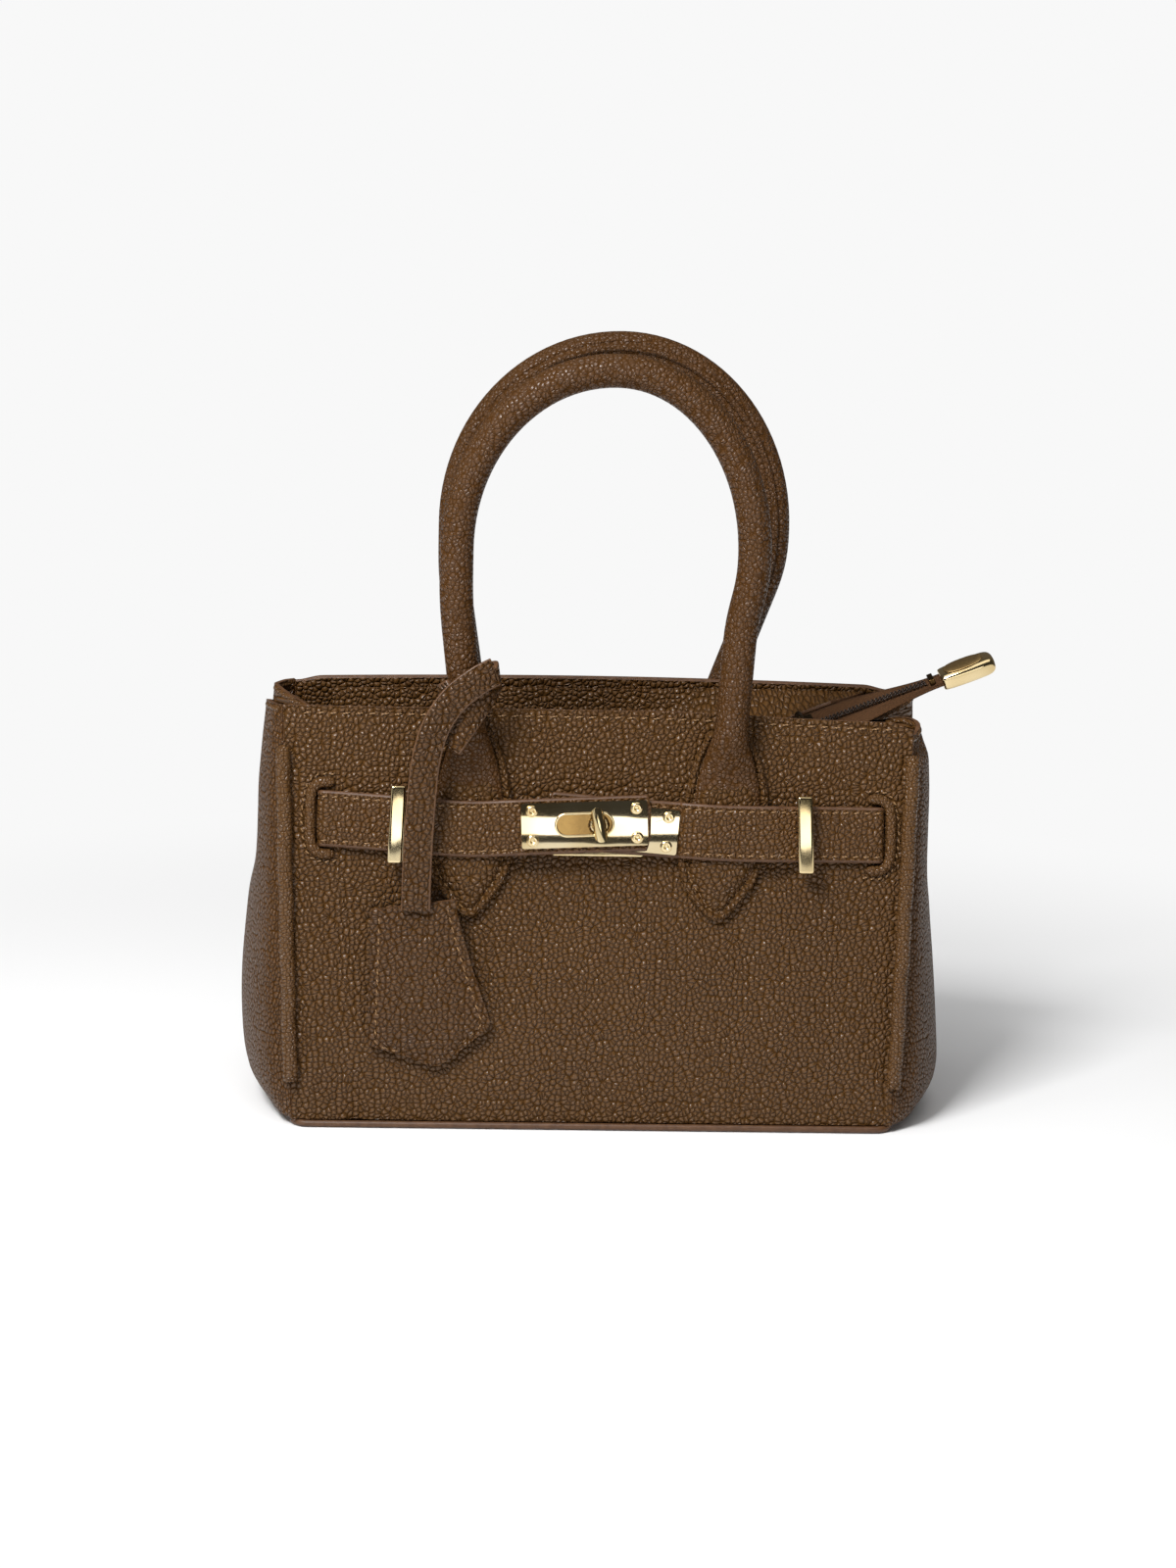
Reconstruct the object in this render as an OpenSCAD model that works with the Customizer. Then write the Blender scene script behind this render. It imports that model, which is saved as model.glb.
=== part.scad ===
// Top handle bag with a belt, a turn lock, two round handles and a key pouch.
// X runs to the right, Y to the rear and Z up. The origin is the centre of the base on the ground.

/* [Body] */
// Width across the front seams at the top edge
top_w = 225; // [200:1:260]
// Width across the front seams at the base
base_w = 215; // [195:1:250]
// Height of the top edge over the ground
body_h = 150; // [130:1:175]
// Depth of the base
base_d = 100; // [90:1:130]
// Depth across the mouth
mouth_d = 66; // [60:1:84]
// Outward bow of the front and rear panels
panel_bow = 3; // [2:0.5:6]
// Thickness of the front and rear panels
panel_t = 2; // [1.4:0.1:2.6]
// Thickness of the base leather
base_t = 2; // [1.5:0.1:3]
// Thickness of the board in the base
board_t = 2; // [1:0.1:3]
// Radius of the corners of the base
base_corner_r = 6; // [3:0.5:12]
// Thickness of the side gussets
gusset_t = 1.6; // [1.2:0.1:2]
// Largest outward bulge of a gusset
gusset_bulge = 22; // [10:0.2:24]
// Depth of the inward fold at the top of a gusset
fold_depth = 18; // [10:0.5:22]
// Drop of the gusset's top edge in the fold
fold_drop = 7; // [3:0.5:10]
// Thickness of the lining
lining_t = 0.8; // [0.6:0.1:1.2]
// Lap of the lining's rim behind the facing strips
lining_lap = 4; // [2:0.5:6]

/* [Edges] */
// Width of the raised corner piping
piping_w = 5.2; // [4:0.2:7]
// Height of the corner piping's lower end
piping_z0 = 17; // [12:1:30]
// Drop of the corner piping's upper end below the top edge
piping_drop = 14; // [10:1:30]
// Thickness of the thin piping round the base
base_piping_d = 2.4; // [1.6:0.1:3]
// Height of the facing strip inside the top edge
facing_h = 22; // [16:1:26]
// Thickness of the facing strip
facing_t = 1.2; // [0.8:0.1:1.6]

/* [Handles] */
// Diameter of the handle tubes
handle_d = 12; // [10:0.2:14]
// Diameter of the core inside a handle
core_d = 8.4; // [6:0.2:9]
// Half the spacing of the legs at the top edge
leg_x = 45.8; // [40:0.2:52]
// Half the spacing of the front handle where it tilts
front_pivot_x = 49.3; // [46:0.1:54]
// Half the spacing of the rear handle where it tilts
rear_pivot_x = 55.3; // [48:0.1:60]
// Half the largest spacing of the front handle
front_span_x = 52.2; // [50:0.1:60]
// Half the largest spacing of the rear handle
rear_span_x = 60.2; // [56:0.1:68]
// Rise of the handles' pivots over the top edge
pivot_rise = 26; // [22:0.5:35]
// Distance of the handles' pivots from the middle of the bag
pivot_y = 40.4; // [39:0.2:48]
// Rise of the front handle's crown line over the top edge
front_crown_rise = 120; // [100:0.5:150]
// Rise of the rear handle's crown line over the top edge
rear_crown_rise = 125.6; // [100:0.1:150]
// Shift to the right of the front handle where it tilts, at its widest and at its crown
front_shift = [-0.9, 0.6, 3.2]; // [-4:0.1:8]
// The same shifts of the rear handle
rear_shift = [3.9, 6.8, 8.6]; // [0:0.1:10]
// Height of the seam ridge along a handle
ridge_h = 0.9; // [0.4:0.1:1.4]
// Largest forward tilt of a handle, in degrees
handle_tilt = 55; // [30:1:60]
// Width of a handle tab
tab_w = 31; // [27:0.5:36]
// Drop of a tab's tip below the top edge
tab_drop = 73.5; // [66:0.5:84]
// Thickness of a tab's flat leather
tab_t = 2.4; // [1.8:0.1:3]
// Thickness of the padded tab under the belt
tab_pad_t = 4; // [3:0.1:4.2]

/* [Belt] */
// Width of the belt
belt_w = 20; // [16:0.5:22]
// Thickness of the belt
belt_t = 2.4; // [1.6:0.1:2.8]
// Drop of the lock and the belt below the top edge
lock_drop = 39.8; // [38:0.1:44]
// Distance of the left belt slot from the middle
left_slot_x = 98.4; // [92:0.1:101]
// Distance of the right belt slot from the middle
right_slot_x = 100.8; // [92:0.1:101]
// Width of the belt slots
slot_w = 3.4; // [3.2:0.1:4.4]
// Width of the raised lip round a slot
lip_w = 3.2; // [2:0.2:4]
// Thickness of that lip
lip_t = 1.5; // [1:0.1:2.2]
// Diameter of the keeper bars
keeper_d = 5; // [4:0.2:5.6]
// Length of the keeper bars
keeper_len = 27; // [25:0.5:30]
// Distance of the left keeper from the middle
left_keeper_x = 71.2; // [71:0.1:78]
// Distance of the right keeper from the middle
right_keeper_x = 73.2; // [71:0.1:78]

/* [Turn lock] */
// Width of the base plate
lock_base_w = 34; // [30:0.5:38]
// Height of the base plate
lock_base_h = 23; // [21:0.5:26]
// Thickness of the base plate
lock_base_t = 1.5; // [1:0.1:1.6]
// Length of a slotted plate
plate_w = 44.6; // [42:0.2:48]
// Height of a slotted plate
plate_h = 16; // [14:0.2:17]
// Thickness of a slotted plate
plate_t = 1; // [0.8:0.1:1.2]
// Length of the plates' slots
plate_slot_w = 20; // [18:0.5:22]
// Height of the plates' slots
plate_slot_h = 7.6; // [7.2:0.1:8.4]
// Tilt of the left, upper plate in degrees
left_plate_tilt = 2.7; // [0:0.1:3]
// Tilt of the right, lower plate in degrees
right_plate_tilt = 4.5; // [0:0.1:5]
// Diameter of the toggle's post
post_d = 3.8; // [3:0.1:4]
// Length of the toggle's head
toggle_len = 12.4; // [10:0.2:14]
// Width of the toggle's head
toggle_w = 4.6; // [4:0.1:5.4]
// Lean of the locked toggle from upright in degrees
toggle_lean = 11; // [0:1:15]

/* [Zip] */
// Width of the leather flaps beside the zip
flap_w = 21; // [18:0.5:22]
// Thickness of the leather flaps
flap_t = 1.4; // [1:0.1:1.8]
// Width of each zip tape beside its coil
tape_w = 10.2; // [8:0.2:11]
// Thickness of the zip tape
tape_t = 0.8; // [0.6:0.1:1]
// Diameter of a coil
coil_d = 2.2; // [1.8:0.1:2.6]
// Distance of the fork, where the chain begins, from the middle
fork_x = 66; // [60:1:70]
// Drop of the fork below the top edge
fork_drop = 16; // [12:0.5:17]
// Rise of the tail in degrees
tail_rise = 21.8; // [20:0.2:26]
// Twist of the tail in degrees
tail_twist = 17; // [0:1:17]
// Length of the tail up to its end cap
tail_len = 64; // [60:1:75]
// Length of the end cap
cap_len = 20; // [16:0.5:24]
// Width of the end cap
cap_w = 11; // [9:0.5:13]
// Height of the end cap
cap_h = 7; // [6:0.5:9]
// Length of the slider
slider_len = 9; // [8:0.5:11]
// Width of the slider
slider_w = 8.4; // [8:0.2:10]
// Length of the slider's puller
puller_len = 14; // [14:0.5:16]

/* [Key pouch] */
// Width of the band looped round the handle leg
loop_w = 12.4; // [11:0.2:13]
// Thickness of the band and the strap
strap_t = 1.8; // [1.4:0.1:2]
// Width of the hanging strap
strap_w = 9; // [7:0.2:9.4]
// Width of the band's slit
slit_w = 4; // [3.9:0.1:4.4]
// Drop of the strap's pivot below the middle of the band's loop
strap_drop = 3.8; // [3:0.1:5]
// Distance of the strap's pivot to the left of the leg
strap_out = 6.8; // [6.2:0.1:7.6]
// Distance of the hanging strap's foot to the left of the middle
strap_x = 64.3; // [63.6:0.1:65]
// Width of the pouch at its top
pouch_top_w = 30; // [26:0.5:34]
// Largest width of the pouch
pouch_w = 44.5; // [38:0.5:48]
// Length of the pouch's pointed end
pouch_point_h = 12.5; // [8:0.5:16]
// Gap between the belt and the pouch's top edge
pouch_gap = 17.8; // [12:0.2:19]
// Height of the pouch's tip over the ground
pouch_foot_z = 22.9; // [18:0.1:30]
// Thickness of the pouch's leather
pouch_t = 1.2; // [1:0.1:1.5]
// Lean of the pouch in degrees
pouch_lean = 7.6; // [0:0.2:10]

/* [Hidden] */

// Gap left where one sewn piece lies on another
seam_gap = 0.2;
// Gap between pieces that move past each other
slide_gap = 0.3;
// Radial play of a turning post in its bore
bore_play = 0.05;
// Length by which a cut runs past what it cuts
over = 1;
// Facets of round pieces, and of the large arcs of the panels
round_fn = 48;
arc_fn = 360;

// Heights that hang from the top edge
lining_h = body_h - facing_h + lining_lap;
piping_z1 = body_h - piping_drop;
pivot_z = body_h + pivot_rise;
front_crown_z = body_h + front_crown_rise;
rear_crown_z = body_h + rear_crown_rise;
tab_tip_z = body_h - tab_drop;
belt_z = body_h - lock_drop;
fork_z = body_h - fork_drop;

// The bow of the front panel is an arc whose centre lies behind the bag
bow_chord = norm([(base_d - mouth_d) / 2, body_h]);
bow_r = bow_chord * bow_chord / (8 * panel_bow) + panel_bow / 2;
bow_lean = atan((base_d - mouth_d) / 2 / body_h);
bow_y = -(base_d + mouth_d) / 4 + (bow_r - panel_bow) * cos(bow_lean);
bow_z = body_h / 2 - (bow_r - panel_bow) * sin(bow_lean);

// Depth of the panel's face at height z, a distance n in front of it, and its lean there
function face_y(z, n = 0) = bow_y - sqrt(pow(bow_r + n, 2) - pow(z - bow_z, 2));
function face_lean(z) = asin((z - bow_z) / bow_r);
function seam_x(z) = (base_w + (top_w - base_w) * z / body_h) / 2;
function mix(a, b, t) = a + (b - a) * t;
function ease(t) = let(c = min(max(t, 0), 1)) c * c * (3 - 2 * c);
function unit(v) = v / norm(v);

// Points on a smooth curve through the given points
function curve(p, steps) = concat(
    [for (i = [0:len(p) - 2], s = [0:steps - 1])
        let(t = s / steps, a = p[max(i - 1, 0)], b = p[i], c = p[i + 1], d = p[min(i + 2, len(p) - 1)])
        (2 * b + (c - a) * t + (2 * a - 5 * b + 4 * c - d) * t * t
            + (3 * b - 3 * c + d - a) * t * t * t) / 2],
    [p[len(p) - 1]]);
function bezier(a, b, c, d, steps) = [for (s = [0:steps])
    let(t = s / steps, u = 1 - t) a * u * u * u + 3 * b * u * u * t + 3 * c * u * t * t + d * t * t * t];
function tangent(p, i) = unit(p[min(i + 1, len(p) - 1)] - p[max(i - 1, 0)]);
function reversed(p) = [for (i = [len(p) - 1:-1:0]) p[i]];
// Outline of a strip of width w along a plane curve
function ribbon(p, w) = concat(
    [for (i = [0:len(p) - 1]) let(t = tangent(p, i)) p[i] + [-t[1], t[0]] * w / 2],
    reversed([for (i = [0:len(p) - 1]) let(t = tangent(p, i)) p[i] - [-t[1], t[0]] * w / 2]));

// A closed skin over rings of points
module loft(rings) {
    n = len(rings[0]);
    last = (len(rings) - 1) * n;
    polyhedron(
        points = [for (r = rings) each r],
        faces = concat(
            [[for (i = [0:n - 1]) i]],
            [for (j = [0:len(rings) - 2], i = [0:n - 1])
                let(a = j * n + i, b = j * n + (i + 1) % n) each [[a, a + n, b], [b, a + n, b + n]]],
            [[for (i = [n - 1:-1:0]) last + i]]));
}

// A tube of the given section along a path; the section's second axis keeps to side
module sweep(path, section, side) {
    loft([for (i = [0:len(path) - 1])
        let(t = tangent(path, i), a = unit(cross(side, t)), b = cross(t, a))
        [for (s = section) path[i] + a * s[0] + b * s[1]]]);
}

// A sheet between two grids of points
module sheet(outer, inner) {
    n = len(outer[0]);
    m = len(outer);
    all = n * m;
    function quad(a, b, c, d) = [[a, b, c], [a, c, d]];
    polyhedron(
        points = concat([for (r = outer) each r], [for (r = inner) each r]),
        faces = concat(
            [for (j = [0:m - 2], i = [0:n - 2]) let(a = j * n + i) each quad(a, a + n, a + n + 1, a + 1)],
            [for (j = [0:m - 2], i = [0:n - 2])
                let(a = all + j * n + i) each quad(a, a + 1, a + n + 1, a + n)],
            [for (j = [0:m - 2]) let(a = j * n) each quad(a, all + a, all + a + n, a + n)],
            [for (j = [0:m - 2]) let(a = j * n + n - 1) each quad(a, a + n, all + a + n, all + a)],
            [for (i = [0:n - 2]) each quad(i, i + 1, all + i + 1, all + i)],
            [for (i = [0:n - 2]) let(a = (m - 1) * n + i) each quad(a, all + a, all + a + 1, a + 1)]));
}

// A section bent along the panel's bow; it is drawn as distance in front of the face by width
module bowed(z0, z1) {
    translate([0, bow_y, bow_z])
        rotate([90, 0, -90])
            rotate_extrude(start = face_lean(z0), angle = face_lean(z1) - face_lean(z0), $fn = arc_fn)
                translate([bow_r, 0])
                    children();
}

// The same between two distances from the face, over a full width
module bowed_sheet(z0, z1, n0, n1, w) {
    bowed(z0, z1)
        translate([n0, -w / 2])
            square([n1 - n0, w]);
}

// An outline in X and Z pushed through the front half of the bag
module through_front() {
    rotate([90, 0, 0])
        linear_extrude(base_d)
            children();
}

// The frame of the belt: X along it, Y into the bag and Z up the panel's face
module belt_frame() {
    translate([0, face_y(belt_z), belt_z])
        rotate([-face_lean(belt_z), 0, 0])
            children();
}

// An outline in X and Z of that frame, between two distances in front of the face
module belt_slab(n0, n1) {
    translate([0, -n0, 0])
        rotate([90, 0, 0])
            linear_extrude(n1 - n0)
                children();
}

module rounded_box(w, h, r) {
    translate([-w / 2 + r, -h / 2])
        square([w - 2 * r, h]);
    translate([-w / 2, -h / 2 + r])
        square([w, h - 2 * r]);
    for (x = [-1, 1], y = [-1, 1])
        translate([x * (w / 2 - r), y * (h / 2 - r)])
            circle(r, $fn = round_fn);
}

// A slot with round ends, its length along Y
module stadium(w, h) {
    translate([-w / 2, -(h - w) / 2])
        square([w, h - w]);
    for (y = [-1, 1])
        translate([0, y * (h - w) / 2])
            circle(w / 2, $fn = round_fn);
}

// Body panels

module panel_outline() {
    polygon([
        [-base_w / 2, 0],
        [base_w / 2, 0],
        [seam_x(body_h + over), body_h + over],
        [-seam_x(body_h + over), body_h + over]
    ]);
}

panel_z0 = base_piping_d + 2 * seam_gap;

module plain_panel() {
    intersection() {
        bowed_sheet(panel_z0, body_h, -panel_t, 0, top_w + 2 * over);
        through_front()
            panel_outline();
    }
}

slot_h = belt_w + 4 * slide_gap;
pin_d = 2.2;
keeper_tilt = 3;
pin_offset = (keeper_len - keeper_d) / 2 + slide_gap;
rivet_d = 2;
rivet_x = lock_base_w / 2 - rivet_d;

module front_panel() {
    color("#4b3220")
        difference() {
            plain_panel();
            belt_frame()
                belt_slab(-panel_t - over, over) {
                    for (side = [-1, 1])
                        translate([side * slot_x(side), belt_end_drop(side)])
                            square([slot_w, slot_h], center = true);
                    for (side = [-1, 1], up = [-1, 1])
                        translate([keeper_x(side), belt_drop(keeper_x(side))])
                            rotate(side * keeper_tilt)
                                translate([0, up * pin_offset])
                                    circle(d = pin_d + 2 * slide_gap, $fn = round_fn);
                    for (side = [-1, 1])
                        translate([side * rivet_x, 0])
                            circle(d = rivet_d + 2 * slide_gap, $fn = round_fn);
                }
        }
}

module rear_panel() {
    color("#4b3220")
        mirror([0, 1, 0])
            plain_panel();
}

base_inset = base_piping_d / 2 + seam_gap;

module base_panel() {
    color("#46301f")
        linear_extrude(base_t)
            rounded_box(base_w - 2 * base_inset, base_d - 2 * base_inset, base_corner_r);
}

board_inset = panel_t + 4 * seam_gap + base_inset;

module base_board() {
    color("#8a7a63")
        translate([0, 0, base_t + seam_gap])
            linear_extrude(board_t)
                rounded_box(base_w - 2 * board_inset, base_d - 2 * board_inset, base_corner_r);
}

// A round cord along the rim of the base, just clear of the ground
module base_piping() {
    r = base_corner_r;
    color("#5a3d28")
        translate([0, 0, base_piping_d / 2 + seam_gap]) {
            for (x = [-1, 1])
                translate([x * base_w / 2, 0, 0])
                    rotate([90, 0, 0])
                        cylinder(d = base_piping_d, h = base_d - 2 * r, center = true, $fn = round_fn);
            for (y = [-1, 1])
                translate([0, y * base_d / 2, 0])
                    rotate([0, 90, 0])
                        cylinder(d = base_piping_d, h = base_w - 2 * r, center = true, $fn = round_fn);
            for (x = [0, 1], y = [0, 1])
                mirror([x, 0, 0])
                    mirror([0, y, 0])
                        translate([base_w / 2 - r, base_d / 2 - r, 0])
                            rotate_extrude(angle = 90, $fn = round_fn)
                                translate([r, 0])
                                    circle(d = base_piping_d, $fn = round_fn);
        }
}

// Gussets: bulge against height as shares of the largest bulge and of the body's height
left_bulge_share = [[0, 0.25], [0.055, 0.76], [0.1, 0.87], [0.16, 0.92], [0.25, 0.93],
    [0.33, 0.89], [0.45, 0.79], [0.6, 0.67], [0.8, 0.6], [0.93, 0.46], [1, 0.37]];
right_bulge_share = [[0, 0.4], [0.055, 0.88], [0.1, 1], [0.16, 0.97], [0.25, 0.9],
    [0.35, 0.8], [0.47, 0.68], [0.6, 0.585], [0.8, 0.53], [0.93, 0.44], [1, 0.38]];
fold_half_share = 0.3;
fold_start_share = 0.5;
side_rows = 13;
side_columns = 16;

// How far a gusset folds inwards at height z and at share u of the way from front to rear
function fold(z, u) = ease((z / body_h - fold_start_share) / (1 - fold_start_share))
    * pow(max(0, 1 - abs(u - 0.5) / fold_half_share), 1.2);
function side_x(bulge, z, u) = seam_x(z) + seam_gap
    + gusset_bulge * lookup(z / body_h, bulge) * sqrt(max(0, sin(180 * u))) - fold_depth * fold(z, u);
function side_point(bulge, z, u) = [
    side_x(bulge, z, u),
    (2 * u - 1) * -face_y(z, -seam_gap),
    z - fold_drop * fold(z, u) * z / body_h
];

module side_gusset(bulge) {
    step_share = 0.0002;
    z0 = panel_z0;
    rows = [for (j = [0:side_rows]) let(s = pow(j / side_rows, 1.25)) mix(z0, body_h, s)];
    columns = [for (i = [0:side_columns]) (1 - cos(180 * i / side_columns)) / 2];
    outer = [for (z = rows) [for (u = columns) side_point(bulge, z, u)]];
    inner = [for (z = rows) [for (u = columns)
        let(a = side_point(bulge, z, max(u - step_share, 0)),
            b = side_point(bulge, z, min(u + step_share, 1)),
            t = unit([b[0] - a[0], b[1] - a[1]]))
        side_point(bulge, z, u) + [-t[1], t[0], 0] * gusset_t]];
    sheet(outer, inner);
}

module left_gusset() {
    color("#4b3220")
        mirror([1, 0, 0])
            side_gusset(left_bulge_share);
}

module right_gusset() {
    color("#4b3220")
        side_gusset(right_bulge_share);
}

// Lining: a thin open bag inside the panels, clear of the facings and the back plate
lining_n = panel_t + facing_t + 3 * seam_gap;
lining_side = 2 * gusset_t;
lining_z0 = base_t + board_t + 2 * seam_gap;
lining_columns = 10;

function lining_side_points(bulge, z, inset) = [for (i = [0:lining_columns])
    let(y0 = face_y(z, -lining_n - inset),
        y = y0 * cos(180 * i / lining_columns),
        u = (1 - y / face_y(z, -seam_gap)) / 2,
        deeper = fold_depth * (fold(z + fold_drop, u) - fold(z, u)))
    [side_x(bulge, z, u) - deeper - lining_side - inset, y]];
function lining_ring(z, inset) = concat(
    [for (p = lining_side_points(right_bulge_share, z, inset)) [p[0], p[1], z]],
    [for (p = reversed(lining_side_points(left_bulge_share, z, inset))) [-p[0], p[1], z]]);

// Its skin runs up the outside, over the rim and down the inside
module lining() {
    rows = 8;
    heights = [for (j = [0:rows]) mix(lining_z0, lining_h, pow(j / rows, 1.2))];
    color("#6b5138")
        loft(concat(
            [for (z = heights) lining_ring(z, 0)],
            [for (z = reversed(heights)) lining_ring(max(z, lining_z0 + lining_t), lining_t)]));
}

pocket_w = 130;
pocket_h = 66;
pocket_drop = 28;
pocket_z1 = lining_h - pocket_drop;
pocket_z0 = pocket_z1 - pocket_h;

// Slip pocket sewn on the rear lining
module inner_pocket() {
    color("#6b5138")
        mirror([0, 1, 0])
            bowed_sheet(pocket_z0, pocket_z1,
                -lining_n - 2 * lining_t - seam_gap, -lining_n - lining_t - seam_gap, pocket_w);
}

// Corner piping: a half round strip over the seam of the front panel and the gusset
module corner_piping() {
    seam_lean = atan((top_w - base_w) / 2 / body_h);
    mid_z = (piping_z0 + piping_z1) / 2;
    translate([seam_x(mid_z), 0, mid_z])
        rotate([0, seam_lean, 0])
            translate([0, 0, -mid_z])
                bowed(piping_z0, piping_z1)
                    translate([slide_gap, 0])
                        intersection() {
                            circle(d = piping_w, $fn = round_fn);
                            translate([0, -piping_w / 2])
                                square([piping_w / 2, piping_w]);
                        }
}

module front_right_piping() {
    color("#553a26")
        corner_piping();
}

module front_left_piping() {
    color("#553a26")
        mirror([1, 0, 0])
            corner_piping();
}

module rear_right_piping() {
    color("#553a26")
        mirror([0, 1, 0])
            corner_piping();
}

module rear_left_piping() {
    color("#553a26")
        mirror([1, 0, 0])
            mirror([0, 1, 0])
                corner_piping();
}

// Facing strips make the two-layer top edges
module facing() {
    side_margin = gusset_t + panel_t;
    bowed_sheet(body_h - facing_h, body_h, -panel_t - seam_gap - facing_t, -panel_t - seam_gap,
        top_w - 2 * side_margin);
}

module front_facing() {
    color("#553a26")
        facing();
}

module rear_facing() {
    color("#553a26")
        mirror([0, 1, 0])
            facing();
}

// Zip: each flap hangs into the mouth at the left and rises to the fork at the right

flap_root_drop = 4.5;
flap_root_z = body_h - flap_root_drop;
flap_root_y = face_y(flap_root_z, -panel_t - facing_t - 2 * seam_gap);
flap_left_x = 98;
flap_right_x = 102;
flap_end_x = 88;
hang_angle = 80;
tail_tape_half = 11.3;
fork_angle = acos((-flap_root_y - tail_tape_half - slide_gap) / flap_w);
coil_pitch = coil_d / 2 + slide_gap + seam_gap;
fork_gap = 2.8;
// Where the flaps begin to turn up, and how far before the fork they lie flat
flap_turn_x = 5;
flap_flat = 4;

// Height of the tail's middle line at x, and its change at a distance across the tail
function tail_z(x) = fork_z + (x - fork_x) * tan(tail_rise);
function flap_turn(x) = ease((x - flap_turn_x) / (fork_x - flap_flat - flap_turn_x));
// Inner edge of the flap of one side, with y taken towards the front as negative
function flap_edge(x, side) = let(a = mix(hang_angle, fork_angle, flap_turn(x)))
    [flap_root_y + flap_w * cos(a), flap_root_z - flap_w * sin(a) + side * flap_lift(x)];
function flap_lift(x) = tail_tape_half * sin(tail_twist) * flap_turn(x);
function tape_edge(x, side) = let(
    p = flap_edge(x, side),
    hung = p + tape_w * [cos(hang_angle), -sin(hang_angle)],
    joined = [-coil_pitch - coil_d / 2 - seam_gap,
        tail_z(fork_x - fork_gap) + side * coil_pitch * sin(tail_twist)])
    mix(hung, joined, flap_turn(x));

// Cross-section of a strip of thickness t between two points of the YZ plane
function strip_ring(x0, p0, x1, p1, t) = let(n = unit([p0[1] - p1[1], p1[0] - p0[0]]) * t / 2) [
    [x0, p0[0] - n[0], p0[1] - n[1]],
    [x1, p1[0] - n[0], p1[1] - n[1]],
    [x1, p1[0] + n[0], p1[1] + n[1]],
    [x0, p0[0] + n[0], p0[1] + n[1]]
];

// The flap's inner edge follows the tail beyond the fork
function flap_inner(x, side) = x <= fork_x ? flap_edge(x, side)
    : [-tail_tape_half - slide_gap, tail_z(x) - tail_tape_half * side * -sin(tail_twist)];

module zip_flap(side) {
    stations = 22;
    loft([for (i = [0:stations])
        let(s = i / stations,
            x0 = mix(-flap_left_x, flap_right_x, s),
            x1 = mix(-flap_left_x, flap_end_x, s))
        strip_ring(x0, [flap_root_y + flap_t / 2, flap_root_z], x1, flap_inner(x1, side), flap_t)]);
}

module zip_tape(side) {
    stations = 16;
    loft([for (i = [0:stations])
        let(x = mix(-flap_left_x, fork_x - fork_gap, i / stations),
            a = flap_edge(x, side),
            b = tape_edge(x, side),
            d = unit(b - a))
        strip_ring(x, a + d * seam_gap * 3, x, b, tape_t)]);
}

module zip_coil(side) {
    stations = 18;
    path = [for (i = [0:stations])
        let(x = mix(-flap_left_x, fork_x - fork_gap, i / stations),
            a = flap_edge(x, side),
            b = tape_edge(x, side),
            d = unit(b - a),
            p = b + d * (coil_d / 2 + seam_gap))
        [x, p[0], p[1]]];
    sides = 8;
    sweep(path, [for (k = [0:sides - 1]) coil_d / 2 * [cos(360 * k / sides), sin(360 * k / sides)]],
        [0, 0, 1]);
}

module front_zip_flap() {
    color("#4b3220")
        zip_flap(-1);
}

module rear_zip_flap() {
    color("#4b3220")
        mirror([0, 1, 0])
            zip_flap(1);
}

module front_zip_tape() {
    color("#3a2a1e")
        zip_tape(-1);
}

module rear_zip_tape() {
    color("#3a2a1e")
        mirror([0, 1, 0])
            zip_tape(1);
}

module front_zip_coil() {
    color("#1c1714")
        zip_coil(-1);
}

module rear_zip_coil() {
    color("#1c1714")
        mirror([0, 1, 0])
            zip_coil(1);
}

// The tail's frame: X along the tail from the fork, Y across it, Z out of its upper side
module tail_frame() {
    translate([fork_x, 0, fork_z])
        rotate([0, -tail_rise, 0])
            rotate([tail_twist, 0, 0])
                children();
}

tail_start = 1.2;
tail_narrow = 24;
cap_socket = 5;
cap_wall = 1.8;
// Rounding of the cap's long edges and corners, and the rim and depth of its inset
cap_round = 2;
cap_corner_r = 2.8;
cap_rim = 0.5;
cap_inset = 0.4;
cap_tape_half = cap_w / 2 - cap_wall;
stop_len = 2.4;
stop_margin = 1;
chain_end = tail_len - stop_len - stop_margin;
coil_z = tape_t / 2 + seam_gap / 2 + coil_d / 2;
chain_top = coil_z + coil_d / 2;

// Tape of the tail, slit between the two coil rows so that the slider's web can pass
module tail_tape() {
    web_slit = 1;
    color("#3a2a1e")
        tail_frame()
            translate([0, 0, -tape_t / 2])
                linear_extrude(tape_t)
                    difference() {
                        polygon([
                            [tail_start, -tail_tape_half],
                            [tail_narrow, -tail_tape_half],
                            [tail_len, -cap_tape_half],
                            [tail_len + cap_socket, -cap_tape_half],
                            [tail_len + cap_socket, cap_tape_half],
                            [tail_len, cap_tape_half],
                            [tail_narrow, tail_tape_half],
                            [tail_start, tail_tape_half]
                        ]);
                        translate([-over, -web_slit / 2])
                            square([chain_end + over, web_slit]);
                    }
}

module tail_coils() {
    color("#1c1714")
        tail_frame()
            for (y = [-1, 1])
                translate([tail_start, y * coil_pitch, coil_z])
                    rotate([0, 90, 0])
                        cylinder(d = coil_d, h = chain_end - tail_start, $fn = round_fn);
}

// Small metal block that stops the slider
module tail_stop() {
    color("#cdb27a")
        tail_frame()
            translate([chain_end + seam_gap, -coil_pitch - coil_d / 2, tape_t / 2 + seam_gap / 2])
                cube([stop_len - 2 * seam_gap, 2 * coil_pitch + coil_d, chain_top - tape_t / 2]);
}

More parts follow.
